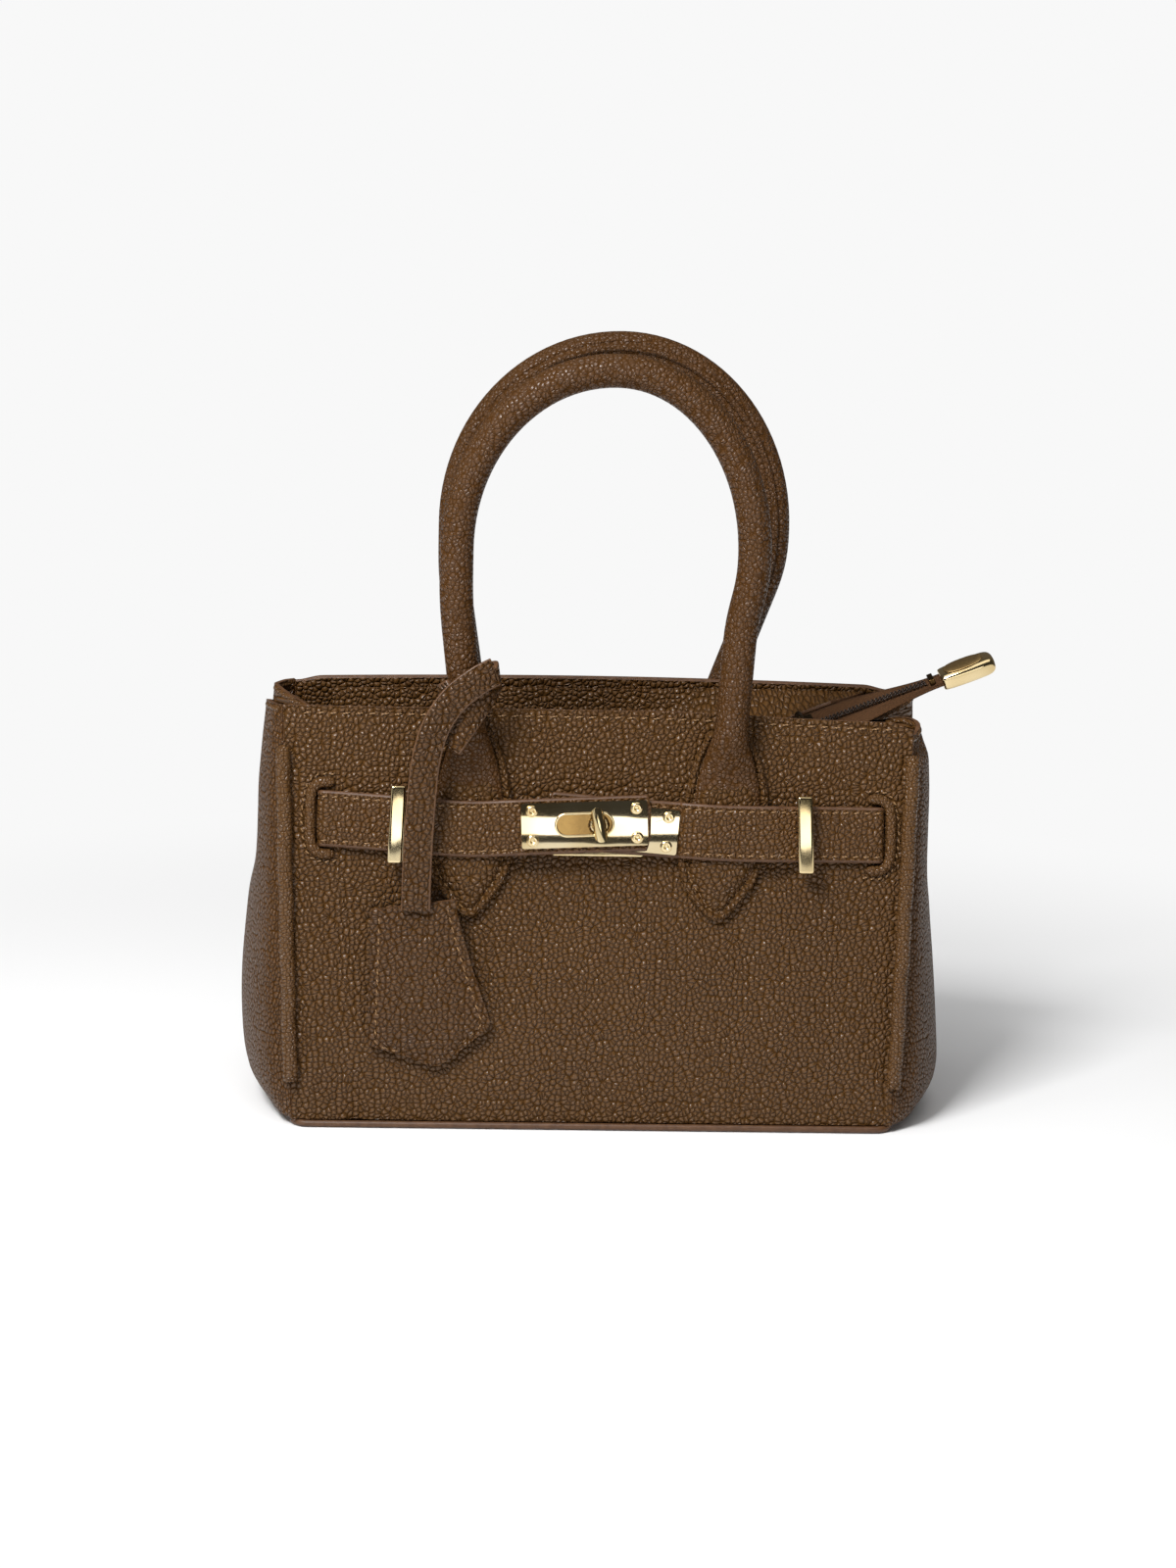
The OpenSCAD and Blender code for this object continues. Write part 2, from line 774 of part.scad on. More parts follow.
// End cap: an oval metal sleeve over the end of the tape, with a shallow inset in its top face
module tail_cap() {
    inset_w = cap_w - 2 * (cap_round + cap_rim);
    socket_half = cap_tape_half + seam_gap;
    color("#cdb27a")
        tail_frame()
            difference() {
                intersection() {
                    translate([tail_len, 0, 0])
                        rotate([90, 0, 90])
                            linear_extrude(cap_len)
                                rounded_box(cap_w, cap_h, cap_round);
                    translate([tail_len + cap_len / 2, 0, -cap_h])
                        linear_extrude(2 * cap_h)
                            rounded_box(cap_len, cap_w + 2 * seam_gap, cap_corner_r);
                }
                translate([tail_len - over, -socket_half, -tape_t / 2 - seam_gap])
                    cube([cap_socket + over + seam_gap, 2 * socket_half, tape_t + 2 * seam_gap]);
                translate([tail_len + cap_len / 2, 0, cap_h / 2 - cap_inset])
                    linear_extrude(over)
                        rounded_box(cap_len - 2 * (cap_round + cap_rim), inset_w, inset_w / 3);
            }
}

// The slider is parked just behind the front panel's edge
slider_x = 7.2;
slider_top = chain_top + slide_gap;
slider_plate_t = 1;
slider_low = tape_t / 2 + slide_gap;
puller_pin_d = 1.4;
puller_lift = 1.1;
puller_pin_z = slider_top + slider_plate_t + puller_pin_d / 2 + puller_lift;
puller_pin_x = slider_x + slider_len / 2;
puller_t = 1.4;
puller_w = 6;
puller_eye_w = 3;

// Outline of the slider, as shares of its length and half its width: broad where the rows part
slider_share = [[0, 0.8], [0.12, 1], [0.62, 1], [1, 0.86]];

module slider_outline() {
    half = [for (s = slider_share) [s[0] * slider_len, s[1] * slider_w / 2]];
    polygon(concat(half, reversed([for (p = half) [p[0], -p[1]]])));
}

// Slider: two plates joined by a thin web between the coil rows, with ears for the puller's pin
module zip_slider() {
    web_t = 0.5;
    flange_y = coil_pitch + coil_d / 2 + slide_gap;
    ear_t = 1.1;
    ear_y = puller_eye_w / 2 + slide_gap;
    color("#cdb27a")
        tail_frame() {
            for (z = [slider_top, -slider_low - slider_plate_t])
                translate([slider_x, 0, z])
                    linear_extrude(slider_plate_t)
                        slider_outline();
            translate([slider_x, -web_t / 2, -slider_low - slider_plate_t])
                cube([slider_len, web_t, slider_top + slider_low + 2 * slider_plate_t]);
            translate([slider_x, 0, slider_low])
                linear_extrude(slider_top + slider_plate_t - slider_low)
                    difference() {
                        slider_outline();
                        translate([-over, -flange_y])
                            square([slider_len + 2 * over, 2 * flange_y]);
                    }
            for (y = [0, 1])
                mirror([0, y, 0]) {
                    translate([puller_pin_x, ear_y + ear_t, 0])
                        rotate([90, 0, 0])
                            linear_extrude(ear_t) {
                                translate([0, puller_pin_z])
                                    circle(d = 2 * puller_pin_d, $fn = round_fn);
                                translate([-puller_pin_d, slider_top])
                                    square([2 * puller_pin_d, puller_pin_z - slider_top]);
                            }
                }
            translate([puller_pin_x, 0, puller_pin_z])
                rotate([90, 0, 0])
                    cylinder(d = puller_pin_d, h = 2 * ear_y + ear_t, center = true, $fn = round_fn);
        }
}

// Puller lying back over the slider towards the mouth
module zip_puller() {
    color("#cdb27a")
        tail_frame()
            translate([puller_pin_x, 0, puller_pin_z])
                difference() {
                    union() {
                        rotate([90, 0, 0])
                            cylinder(d = puller_pin_d + puller_t, h = puller_eye_w, center = true,
                                $fn = round_fn);
                        translate([-puller_len / 3, -puller_eye_w / 2, -puller_t / 2])
                            cube([puller_len / 3, puller_eye_w, puller_t]);
                        translate([-puller_len * 2 / 3, 0, -puller_t / 2])
                            linear_extrude(puller_t)
                                rounded_box(puller_len * 2 / 3, puller_w, puller_w / 3);
                    }
                    rotate([90, 0, 0])
                        cylinder(d = puller_pin_d + 2 * bore_play, h = puller_w, center = true,
                            $fn = round_fn);
                    translate([-puller_len + puller_w / 2, 0, 0])
                        cylinder(d = puller_w / 3, h = puller_w, center = true, $fn = round_fn);
                }
}

// Belt: its path is a curve of places along X by heights over the face, from slot to lock

lock_base_n = seam_gap;
under_belt_n = lock_base_n + lock_base_t + seam_gap;
right_plate_n = under_belt_n + belt_t + seam_gap / 2;
upper_belt_n = right_plate_n + plate_t + slide_gap;
left_plate_n = upper_belt_n + belt_t + seam_gap / 2;
collar_top_n = left_plate_n + plate_t - seam_gap;
toggle_n = left_plate_n + plate_t + 2 * slide_gap;
belt_free_n = belt_t / 2 + seam_gap * 2;
belt_tab_n = tab_pad_t + 2 * slide_gap + belt_t / 2;
// Sag of the belt's middle line below the lock, at the tabs and at the slots
belt_sag = 2.6;
belt_slot_sag = 0.6;
belt_plate_sag = 1.2;
belt_keeper_sag = 1;
// Leather that shows round the end of a plate, and the inner radius of the bend into the slot
belt_edge = 1.2;
belt_bend = 0.5;
// Share of a tab's width that its dome lifts the belt over, and how steeply the belt comes down
dome_share = 0.4;
ramp_rise_share = 0.6;
left_plate_at = [-5.1, 0];
right_plate_at = [6, -0.9];

function slot_x(side) = side < 0 ? left_slot_x : right_slot_x;
function keeper_x(side) = side < 0 ? -left_keeper_x : right_keeper_x;
function belt_end_drop(side) = side < 0 ? belt_slot_sag : -belt_sag;
function belt_drop(x) = x < 0
    ? lookup(-x, [[0, 0], [plate_w / 2, -belt_plate_sag], [leg_x, -belt_sag],
        [left_keeper_x, -belt_keeper_sag], [left_slot_x, belt_slot_sag]])
    : lookup(x, [[0, 0], [leg_x, -belt_sag], [right_slot_x, -belt_sag]]);

module belt(side, lock_n, plate_at) {
    bend_r = belt_t / 2 + belt_bend;
    bend_x = slot_x(side) + slot_w / 2 - slide_gap - belt_t / 2 - bend_r;
    tip = plate_w / 2 + belt_edge - abs(plate_at[0]);
    plate_end = plate_w / 2 + abs(plate_at[0]) + slide_gap;
    tab_edge = leg_x - tab_w / 2;
    tab_inner = leg_x - tab_w * dome_share / 2;
    edge_n = max(lock_n, tab_t + 2 * seam_gap + belt_t * ramp_rise_share);
    height = concat(
        [[bend_x + bend_r, -panel_t]],
        [for (a = [0:30:90]) [bend_x + bend_r * cos(a), belt_free_n - bend_r * (1 - sin(a))]],
        curve([
            [bend_x - 2 * bend_r, belt_free_n],
            [abs(keeper_x(side)) + keeper_d / 2, belt_free_n + belt_t / 2],
            [leg_x + tab_w / 2, belt_tab_n],
            [tab_inner, belt_tab_n]
        ], 4),
        [
            [mix(tab_edge, tab_inner, 1 - ramp_rise_share), mix(edge_n, belt_tab_n, ramp_rise_share)],
            [tab_edge - slide_gap, edge_n],
            [plate_end, lock_n],
            [-tip, lock_n]
        ]);
    level = curve([
        [slot_x(side) + over * 2, belt_end_drop(side)],
        [keeper_x(side) * side, belt_drop(keeper_x(side))],
        [leg_x, -belt_sag],
        [plate_w / 2, belt_drop(side * plate_w / 2)],
        [0, 0],
        [-tip, side < 0 ? tip * tan(left_plate_tilt) : tip * tan(right_plate_tilt)]
    ], 4);
    flip = side < 0 ? 1 : 0;
    mirror([flip, 0, 0])
        intersection() {
            translate([0, 0, -base_d / 2])
                linear_extrude(base_d)
                    mirror([0, 1])
                        polygon(ribbon(height, belt_t));
            belt_slab(-base_d / 4, base_d / 2)
                polygon(ribbon(level, belt_w));
        }
}

// Holes for the lock's collar and the plate's screws through a belt end
screw_d = 1.8;
screw_head_d = 4.2;
screw_inset = [3.8, 2.8];
screw_x = plate_w / 2 - screw_inset[0];
screw_y = plate_h / 2 - screw_inset[1];

module plate_screw_places() {
    for (x = [-1, 1], y = [-1, 1])
        translate([x * screw_x, y * screw_y])
            children();
}

module left_plate_place() {
    translate(left_plate_at)
        rotate(left_plate_tilt)
            children();
}

module right_plate_place() {
    translate(right_plate_at)
        rotate(-right_plate_tilt)
            children();
}

module plate_holes() {
    rotate(90)
        stadium(plate_slot_h, plate_slot_w);
    plate_screw_places()
        circle(d = screw_d + 2 * seam_gap, $fn = round_fn);
}

module left_belt() {
    color("#4b3220")
        belt_frame()
            difference() {
                belt(-1, upper_belt_n + belt_t / 2, left_plate_at);
                belt_slab(upper_belt_n - over, upper_belt_n + belt_t + over)
                    left_plate_place()
                        plate_holes();
            }
}

module right_belt() {
    color("#4b3220")
        belt_frame()
            difference() {
                belt(1, under_belt_n + belt_t / 2, right_plate_at);
                belt_slab(under_belt_n - over, under_belt_n + belt_t + over)
                    right_plate_place()
                        plate_holes();
            }
}

// Raised lip round the outer half of a belt slot
module slot_lip(side) {
    lip_h = slot_h + 2 * lip_w;
    belt_frame()
        belt_slab(seam_gap, seam_gap + lip_t)
            translate([side * slot_x(side), belt_end_drop(side)])
                difference() {
                    stadium(slot_w + 2 * lip_w, lip_h);
                    stadium(slot_w + seam_gap, slot_h + 2 * seam_gap);
                    translate([side > 0 ? -slot_w - lip_w - over : 0, -slot_h / 2])
                        square([slot_w + lip_w + over, slot_h]);
                }
}

module left_slot_lip() {
    color("#6a4a33")
        slot_lip(-1);
}

module right_slot_lip() {
    color("#6a4a33")
        slot_lip(1);
}

// Keeper: a round bar over the belt on two pins through the panel
keeper_n = belt_free_n + belt_t + slide_gap * 4 + keeper_d / 2;
keeper_round = 0.9;
washer_d = 6;
washer_t = 0.8;
pin_end_n = -panel_t - seam_gap - washer_t;

module keeper(side) {
    r = keeper_d / 2;
    belt_frame()
        translate([keeper_x(side), 0, belt_drop(keeper_x(side))])
            rotate([0, -side * keeper_tilt, 0]) {
                translate([0, -keeper_n, 0]) {
                    cylinder(r = r, h = keeper_len - 2 * keeper_round, center = true, $fn = round_fn);
                    cylinder(r = r - keeper_round, h = keeper_len, center = true, $fn = round_fn);
                    for (z = [-1, 1])
                        translate([0, 0, z * (keeper_len / 2 - keeper_round)])
                            rotate_extrude($fn = round_fn)
                                translate([r - keeper_round, 0])
                                    circle(keeper_round, $fn = round_fn / 2);
                }
                for (z = [-1, 1])
                    translate([0, 0, z * pin_offset])
                        rotate([90, 0, 0])
                            translate([0, 0, pin_end_n])
                                cylinder(d = pin_d, h = keeper_n - pin_end_n, $fn = round_fn);
            }
}

module left_keeper() {
    color("#cdb27a")
        keeper(-1);
}

module right_keeper() {
    color("#cdb27a")
        keeper(1);
}

module keeper_washers() {
    color("#cdb27a")
        belt_frame()
            for (side = [-1, 1], z = [-1, 1])
                translate([keeper_x(side), 0, belt_drop(keeper_x(side))])
                    rotate([0, -side * keeper_tilt, 0])
                        translate([0, 0, z * pin_offset])
                            rotate([90, 0, 0])
                                translate([0, 0, pin_end_n])
                                    difference() {
                                        cylinder(d = washer_d, h = washer_t, $fn = round_fn);
                                        translate([0, 0, -over])
                                            cylinder(d = pin_d + 2 * bore_play, h = washer_t + 2 * over,
                                                $fn = round_fn);
                                    }
}

// Turn lock
collar_play = 0.6;
collar_d = plate_slot_h - 2 * collar_play;
lock_corner_r = 2;
plate_corner_r = 0.8;
back_plate_inset = 2;

module lock_base_plate() {
    color("#cdb27a")
        belt_frame()
            difference() {
                union() {
                    belt_slab(lock_base_n, lock_base_n + lock_base_t)
                        rounded_box(lock_base_w, lock_base_h, lock_corner_r);
                    belt_slab(lock_base_n, collar_top_n)
                        circle(d = collar_d, $fn = round_fn);
                    for (x = [-1, 1])
                        belt_slab(-panel_t - 3 * seam_gap, lock_base_n + lock_base_t / 2)
                            translate([x * rivet_x, 0])
                                circle(d = rivet_d, $fn = round_fn);
                }
                belt_slab(lock_base_n - over, collar_top_n + over)
                    circle(d = post_d + 2 * bore_play, $fn = round_fn);
            }
}

module lock_back_plate() {
    color("#b9a070")
        belt_frame()
            belt_slab(-panel_t - seam_gap - plate_t, -panel_t - seam_gap)
                difference() {
                    rounded_box(lock_base_w, lock_base_h - 2 * back_plate_inset, lock_corner_r);
                    for (x = [-1, 1])
                        translate([x * rivet_x, 0])
                            circle(d = rivet_d + 2 * bore_play, $fn = round_fn);
                }
}

module lock_plate() {
    difference() {
        rounded_box(plate_w, plate_h, plate_corner_r);
        plate_holes();
    }
}

module left_lock_plate() {
    color("#cdb27a")
        belt_frame()
            belt_slab(left_plate_n, left_plate_n + plate_t)
                left_plate_place()
                    lock_plate();
}

module right_lock_plate() {
    color("#cdb27a")
        belt_frame()
            belt_slab(right_plate_n, right_plate_n + plate_t)
                right_plate_place()
                    lock_plate();
}

// Four screws with low round heads
module plate_screws(back_n, front_n, head_t) {
    belt_slab(back_n, front_n)
        plate_screw_places()
            circle(d = screw_d, $fn = round_fn);
    belt_slab(front_n, front_n + head_t)
        plate_screw_places()
            circle(d = screw_head_d, $fn = round_fn);
}

module left_plate_screws() {
    color("#cdb27a")
        belt_frame()
            translate([left_plate_at[0], 0, left_plate_at[1]])
                rotate([0, -left_plate_tilt, 0])
                    plate_screws(upper_belt_n, left_plate_n + plate_t, slide_gap * 2);
}

module right_plate_screws() {
    color("#cdb27a")
        belt_frame()
            translate([right_plate_at[0], 0, right_plate_at[1]])
                rotate([0, right_plate_tilt, 0])
                    plate_screws(under_belt_n, right_plate_n + plate_t, seam_gap / 2);
}

toggle_t = 3.4;

// Toggle: a capsule head on a post that turns in the collar
module lock_toggle() {
    r = toggle_w / 2;
    color("#cdb27a")
        belt_frame()
            rotate([0, -toggle_lean, 0]) {
                belt_slab(lock_base_n + seam_gap, toggle_n + seam_gap)
                    circle(d = post_d, $fn = round_fn);
                intersection() {
                    belt_slab(toggle_n, toggle_n + toggle_t)
                        stadium(toggle_w, toggle_len);
                    translate([0, -toggle_n - toggle_t + r, 0]) {
                        cylinder(r = r, h = toggle_len, center = true, $fn = round_fn);
                        translate([-r, 0, -toggle_len / 2])
                            cube([toggle_w, toggle_t, toggle_len]);
                    }
                }
            }
}

// Handle tabs: a teardrop of leather whose padded middle rises into the round leg
tab_top_drop = 11;
tab_top_z = body_h - tab_top_drop;
flare_gap = 3;
flare_z0 = belt_z + belt_w / 2 + flare_gap;
pad_start = 10;
pad_z0 = tab_tip_z + pad_start;
leg_r = handle_d / 2;
leg_stand = 2;
leg_foot_y = face_y(tab_top_z) - leg_r - leg_stand;
leg_foot_z = tab_top_z;
cup_r = leg_r / cos(handle_tilt / 2) + bore_play * 2;
leg_sides = 20;

// Half the outline of a tab, as shares of its height and half its width from the tip up
tab_share = [[0, 0], [0.04, 0.28], [0.08, 0.46], [0.2, 0.82], [0.34, 0.99], [0.5, 1],
    [0.66, 0.94], [0.82, 0.78], [0.93, 0.58], [1, 0.4]];

module tab_outline() {
    half = curve([for (s = tab_share)
        [s[1] * tab_w / 2, mix(tab_tip_z, tab_top_z, s[0])]], 3);
    polygon(concat(half, reversed([for (p = half) if (p[0] > 0) [-p[0], p[1]]])));
}

// Width and depth of the padded leg at height z: a flat oval under the belt, a circle at the top
pad_margin = 3;
pad_start_share = 0.55;
function pad_grow(z) = ease((z - pad_z0) / (belt_z - belt_w / 2 - pad_z0));
function flare_grow(z) = ease((z - flare_z0) / (tab_top_z - flare_z0));
function leg_width(z) = mix(tab_w - 2 * pad_margin, handle_d, flare_grow(z))
    * mix(pad_start_share, 1, pad_grow(z));
function leg_depth(z) = mix(mix(tab_t / 2, tab_pad_t - 2 * seam_gap, pad_grow(z)), handle_d, flare_grow(z));
function leg_back_y(z) = mix(face_y(z, 2 * seam_gap), leg_foot_y + leg_r, flare_grow(z));

// Middle line of a leg: up the panel, then straight to the pivot
leg_shares = [0.15, 0.4, 1];
function leg_path(foot_x, top_x) = let(rows = 12) concat(
    [for (j = [0:rows])
        let(z = mix(pad_z0, leg_foot_z, j / rows))
        [foot_x, leg_back_y(z) - leg_depth(z) / 2, z]],
    [for (s = leg_shares)
        [mix(foot_x, top_x, s), mix(leg_foot_y, -pivot_y, s), mix(leg_foot_z, pivot_z, s)]]);

module padded_leg(foot_x, top_x) {
    path = leg_path(foot_x, top_x);
    loft([for (i = [0:len(path) - 1])
        let(t = tangent(path, i),
            a = unit(cross([0, 1, 0], t)),
            b = cross(t, a),
            z = path[i][2],
            w = leg_width(z),
            d = leg_depth(z))
        [for (k = [0:leg_sides - 1])
            path[i] + a * cos(360 * k / leg_sides) * w / 2 + b * sin(360 * k / leg_sides) * d / 2]]);
}

module handle_tab(foot_x, top_x) {
    top = [top_x, -pivot_y, pivot_z];
    difference() {
        union() {
            intersection() {
                bowed_sheet(tab_tip_z - over, tab_top_z, seam_gap, seam_gap + tab_t, 2 * (foot_x + tab_w));
                through_front()
                    translate([foot_x, 0])
                        tab_outline();
            }
            padded_leg(foot_x, top_x);
        }
        translate(top)
            sphere(cup_r, $fn = round_fn);
    }
}

module front_right_tab() {
    color("#4b3220")
        handle_tab(leg_x, front_pivot_x + front_shift[0]);
}

module front_left_tab() {
    color("#4b3220")
        mirror([1, 0, 0])
            handle_tab(leg_x, front_pivot_x - front_shift[0]);
}

module rear_right_tab() {
    color("#4b3220")
        mirror([0, 1, 0])
            handle_tab(leg_x, rear_pivot_x + rear_shift[0]);
}

module rear_left_tab() {
    color("#4b3220")
        mirror([1, 0, 0])
            mirror([0, 1, 0])
                handle_tab(leg_x, rear_pivot_x - rear_shift[0]);
}

// Shares that shape the arch: height of its widest place, pull of its curves, and their ends
wide_share = 0.33;
pull_share = 0.45;
shoulder_share = 0.55;
crown_share = 0.56;
crown_steps = 12;

// Half an arch in its own plane: out from the leg to the widest place and over the crown
function half_arch(foot_x, top_x, span_x, crown_x, crown_z) =
    let(lean = atan2(top_x - foot_x, pivot_z - leg_foot_z),
        wide_z = pivot_z + (crown_z - pivot_z) * wide_share,
        pull = (wide_z - pivot_z) * pull_share,
        rise = crown_z - wide_z,
        out = bezier([top_x, pivot_z], [top_x + pull * sin(lean), pivot_z + pull * cos(lean)],
            [span_x, wide_z - pull], [span_x, wide_z], 6),
        over_crown = bezier([span_x, wide_z], [span_x, wide_z + rise * shoulder_share],
            [crown_x + (span_x - crown_x) * crown_share, crown_z], [crown_x, crown_z], crown_steps))
    concat(out, [for (i = [1:crown_steps]) over_crown[i]]);
// The whole middle line from the left leg's pivot to the right one's
function arch_path(foot_x, top_x, span_x, shift, crown_z) =
    let(left = half_arch(foot_x, top_x - shift[0], span_x - shift[1], -shift[2], crown_z),
        right = half_arch(foot_x, top_x + shift[0], span_x + shift[1], shift[2], crown_z),
        flat = concat([for (p = left) [-p[0], p[1]]], [for (i = [len(right) - 2:-1:0]) right[i]]))
    [for (p = flat) [p[0], -pivot_y, p[1]]];

// Round section with the seam's ridge on the side that faces the other handle
cover_sides = 18;
core_sides = 12;
ridge_half_angle = 15;
function cover_section(r) = [for (k = [0:cover_sides - 1])
    let(a = k * 360 / cover_sides, lift = abs(a - 90) < ridge_half_angle ? ridge_h : 0)
    (r + lift) * [cos(a), sin(a)]];
function plain_section(r, sides) = [for (k = [0:sides - 1])
    r * [cos(360 * k / sides), sin(360 * k / sides)]];

// The path with a straight stretch added at both ends
function longer(p, by) = let(n = len(p) - 1)
    concat([p[0] - tangent(p, 0) * by], p, [p[n] + tangent(p, n) * by]);

// Rings of a tube with round ends along a path whose ends are the centres of the balls
function ring(at, t, section, scale) = let(a = unit(cross([0, 1, 0], t)), b = cross(t, a))
    [for (s = section) at + (a * s[0] + b * s[1]) * scale];
function round_end(at, t, section, r, angles) = [for (a = angles)
    ring(at - t * r * sin(a), t, section, cos(a))];

module handle_cover(foot_x, top_x, span_x, shift, crown_z) {
    path = arch_path(foot_x, top_x, span_x, shift, crown_z);
    n = len(path) - 1;
    end_angles = [70, 50, 35, 18];
    section = cover_section(leg_r);
    end_section = plain_section(leg_r, cover_sides);
    difference() {
        loft(concat(
            round_end(path[0], tangent(path, 0), end_section, leg_r, end_angles),
            [ring(path[0], tangent(path, 0), end_section, 1)],
            [for (i = [1:n - 1]) ring(path[i], tangent(path, i), section, 1)],
            [ring(path[n], tangent(path, n), end_section, 1)],
            reversed(round_end(path[n], -tangent(path, n), [for (s = end_section) [-s[0], s[1]]], leg_r,
                end_angles))));
        sweep(longer(path, leg_r + over), plain_section(core_d / 2 + seam_gap, core_sides), [0, 1, 0]);
    }
}

module handle_core(foot_x, top_x, span_x, shift, crown_z) {
    path = arch_path(foot_x, top_x, span_x, shift, crown_z);
    sweep(longer(path, leg_r / 2), plain_section(core_d / 2, core_sides), [0, 1, 0]);
}

module front_handle_cover() {
    color("#4b3220")
        handle_cover(leg_x, front_pivot_x, front_span_x, front_shift, front_crown_z);
}

module front_handle_core() {
    color("#b8a88c")
        handle_core(leg_x, front_pivot_x, front_span_x, front_shift, front_crown_z);
}

module rear_handle_cover() {
    color("#4b3220")
        mirror([0, 1, 0])
            handle_cover(leg_x, rear_pivot_x, rear_span_x, rear_shift, rear_crown_z);
}

module rear_handle_core() {
    color("#b8a88c")
        mirror([0, 1, 0])
            handle_core(leg_x, rear_pivot_x, rear_span_x, rear_shift, rear_crown_z);
}

// Key pouch: a slit band round the left leg carries the hanging strap
loop_rise = 5.6;
loop_z = body_h + loop_rise;
loop_angle = 45;
loop_reach = 17;
slit_len = 15;
loop_top_x = front_pivot_x - front_shift[0];
loop_leg_x = mix(leg_x, loop_top_x, (loop_z - leg_foot_z) / (pivot_z - leg_foot_z));
loop_leg_y = mix(leg_foot_y, -pivot_y, (loop_z - leg_foot_z) / (pivot_z - leg_foot_z));
loop_r = leg_r + seam_gap;
strap_pivot_x = loop_leg_x + strap_out;
strap_pivot_y = loop_leg_y - loop_r - strap_t;
strap_pivot_z = loop_z - strap_drop;

module key_strap_loop() {
    leg_lean = atan2(loop_top_x - leg_x, pivot_z - leg_foot_z);
    leg_back = atan2(-pivot_y - leg_foot_y, pivot_z - leg_foot_z);
    color("#543a24")
        difference() {
            union() {
                intersection() {
                    translate([-loop_leg_x, loop_leg_y, loop_z])
                        rotate([-leg_back, -leg_lean, 0])
                            cylinder(r = loop_r + strap_t, h = 2 * base_d, center = true, $fn = round_fn);
                    translate([-loop_leg_x, loop_leg_y, loop_z])
                        rotate([0, -loop_angle, 0])
                            cube([base_d, base_d, loop_w], center = true);
                }
                translate([-loop_leg_x, strap_pivot_y, loop_z])
                    rotate([0, -loop_angle, 0])
                        translate([-loop_reach, 0, -loop_w / 2])
                            cube([loop_reach, strap_t, loop_w]);
            }
            translate([-loop_leg_x, loop_leg_y, loop_z])
                rotate([-leg_back, -leg_lean, 0])
                    cylinder(r = loop_r, h = 4 * base_d, center = true, $fn = round_fn);
            translate([-strap_pivot_x, loop_leg_y - base_d / 2, strap_pivot_z])
                rotate([0, -loop_angle, 0])
                    translate([slit_len / 2 - slit_w / 2, 0, 0])
                        rotate([90, 0, 0])
                            linear_extrude(base_d, center = true)
                                rotate(90)
                                    stadium(slit_w, slit_len);
        }
}

pouch_top_z = belt_z - belt_w / 2 - pouch_gap;
pouch_h = pouch_top_z - pouch_foot_z;
pouch_side_h = pouch_h - pouch_point_h;
neck_r = 1.2;
neck_w = 2.2;
// Lengths over which the strap starts to turn, turns, widens, drifts and steps over the pouch
turn_start = 4;
turn_len = 22;
widen_len = 20;
drift_len = 30;
step_len = 14;
strap_lap = 3.4;

// Strap: edge on at the slit, turning to face the front, down to the pouch
module key_strap() {
    low_z = pouch_top_z - strap_lap;
    back_y = strap_pivot_y - slide_gap;
    rows = 16;
    color("#543a24") {
        translate([-strap_pivot_x, strap_pivot_y, strap_pivot_z])
            rotate([0, 90, 0])
                cylinder(r = neck_r, h = neck_w, center = true, $fn = round_fn);
        loft([for (j = [0:rows])
            let(s = j / rows,
                z = mix(strap_pivot_z, low_z, s),
                turn = 90 * (1 - ease((strap_pivot_z - turn_start - z) / turn_len)),
                w = mix(2 * strap_t, strap_w, ease((strap_pivot_z - z) / widen_len)),
                x = -mix(strap_pivot_x, strap_x, ease((strap_pivot_z - z) / drift_len)),
                front = mix(0, pouch_t * 2 + 3 * seam_gap, ease((pouch_top_z + step_len - z) / step_len)),
                y = back_y - slide_gap - max(w * sin(turn), strap_t) / 2 - front,
                c = cos(turn),
                n = sin(turn))
            [for (k = [[-1, 1], [1, 1], [1, -1], [-1, -1]])
                [x + k[0] * w / 2 * c - k[1] * strap_t / 2 * n,
                    y + k[0] * w / 2 * n + k[1] * strap_t / 2 * c,
                    z]]]);
    }
}

// Outline of the pouch, as shares of half its width and of its length from the top down
pouch_tip_share = 0.08;
pouch_corner_r = 2;

module pouch_outline() {
    tip = pouch_tip_share * pouch_w;
    offset(pouch_corner_r)
        offset(-pouch_corner_r)
            polygon([
                [-pouch_top_w / 2, 0],
                [pouch_top_w / 2, 0],
                [pouch_w / 2, -pouch_side_h],
                [tip, -pouch_h],
                [-tip, -pouch_h],
                [-pouch_w / 2, -pouch_side_h]
            ]);
}

pouch_back_y = strap_pivot_y - 2 * slide_gap;
pouch_shift = 1.4;
pouch_tilt = asin((face_y(pouch_foot_z, 2 * slide_gap) - pouch_back_y) / pouch_h);

// The pouch hangs with its foot against the front panel
module pouch_frame(depth) {
    translate([-strap_x - pouch_shift, pouch_back_y - depth, pouch_top_z])
        rotate([pouch_tilt, 0, 0])
            rotate([0, -pouch_lean, 0])
                rotate([90, 0, 0])
                    children();
}

module key_pouch_back() {
    color("#543a24")
        pouch_frame(0)
            linear_extrude(pouch_t)
                pouch_outline();
}

module key_pouch_front() {
    color("#543a24")
        pouch_frame(pouch_t + seam_gap)
            linear_extrude(pouch_t)
                pouch_outline();
}

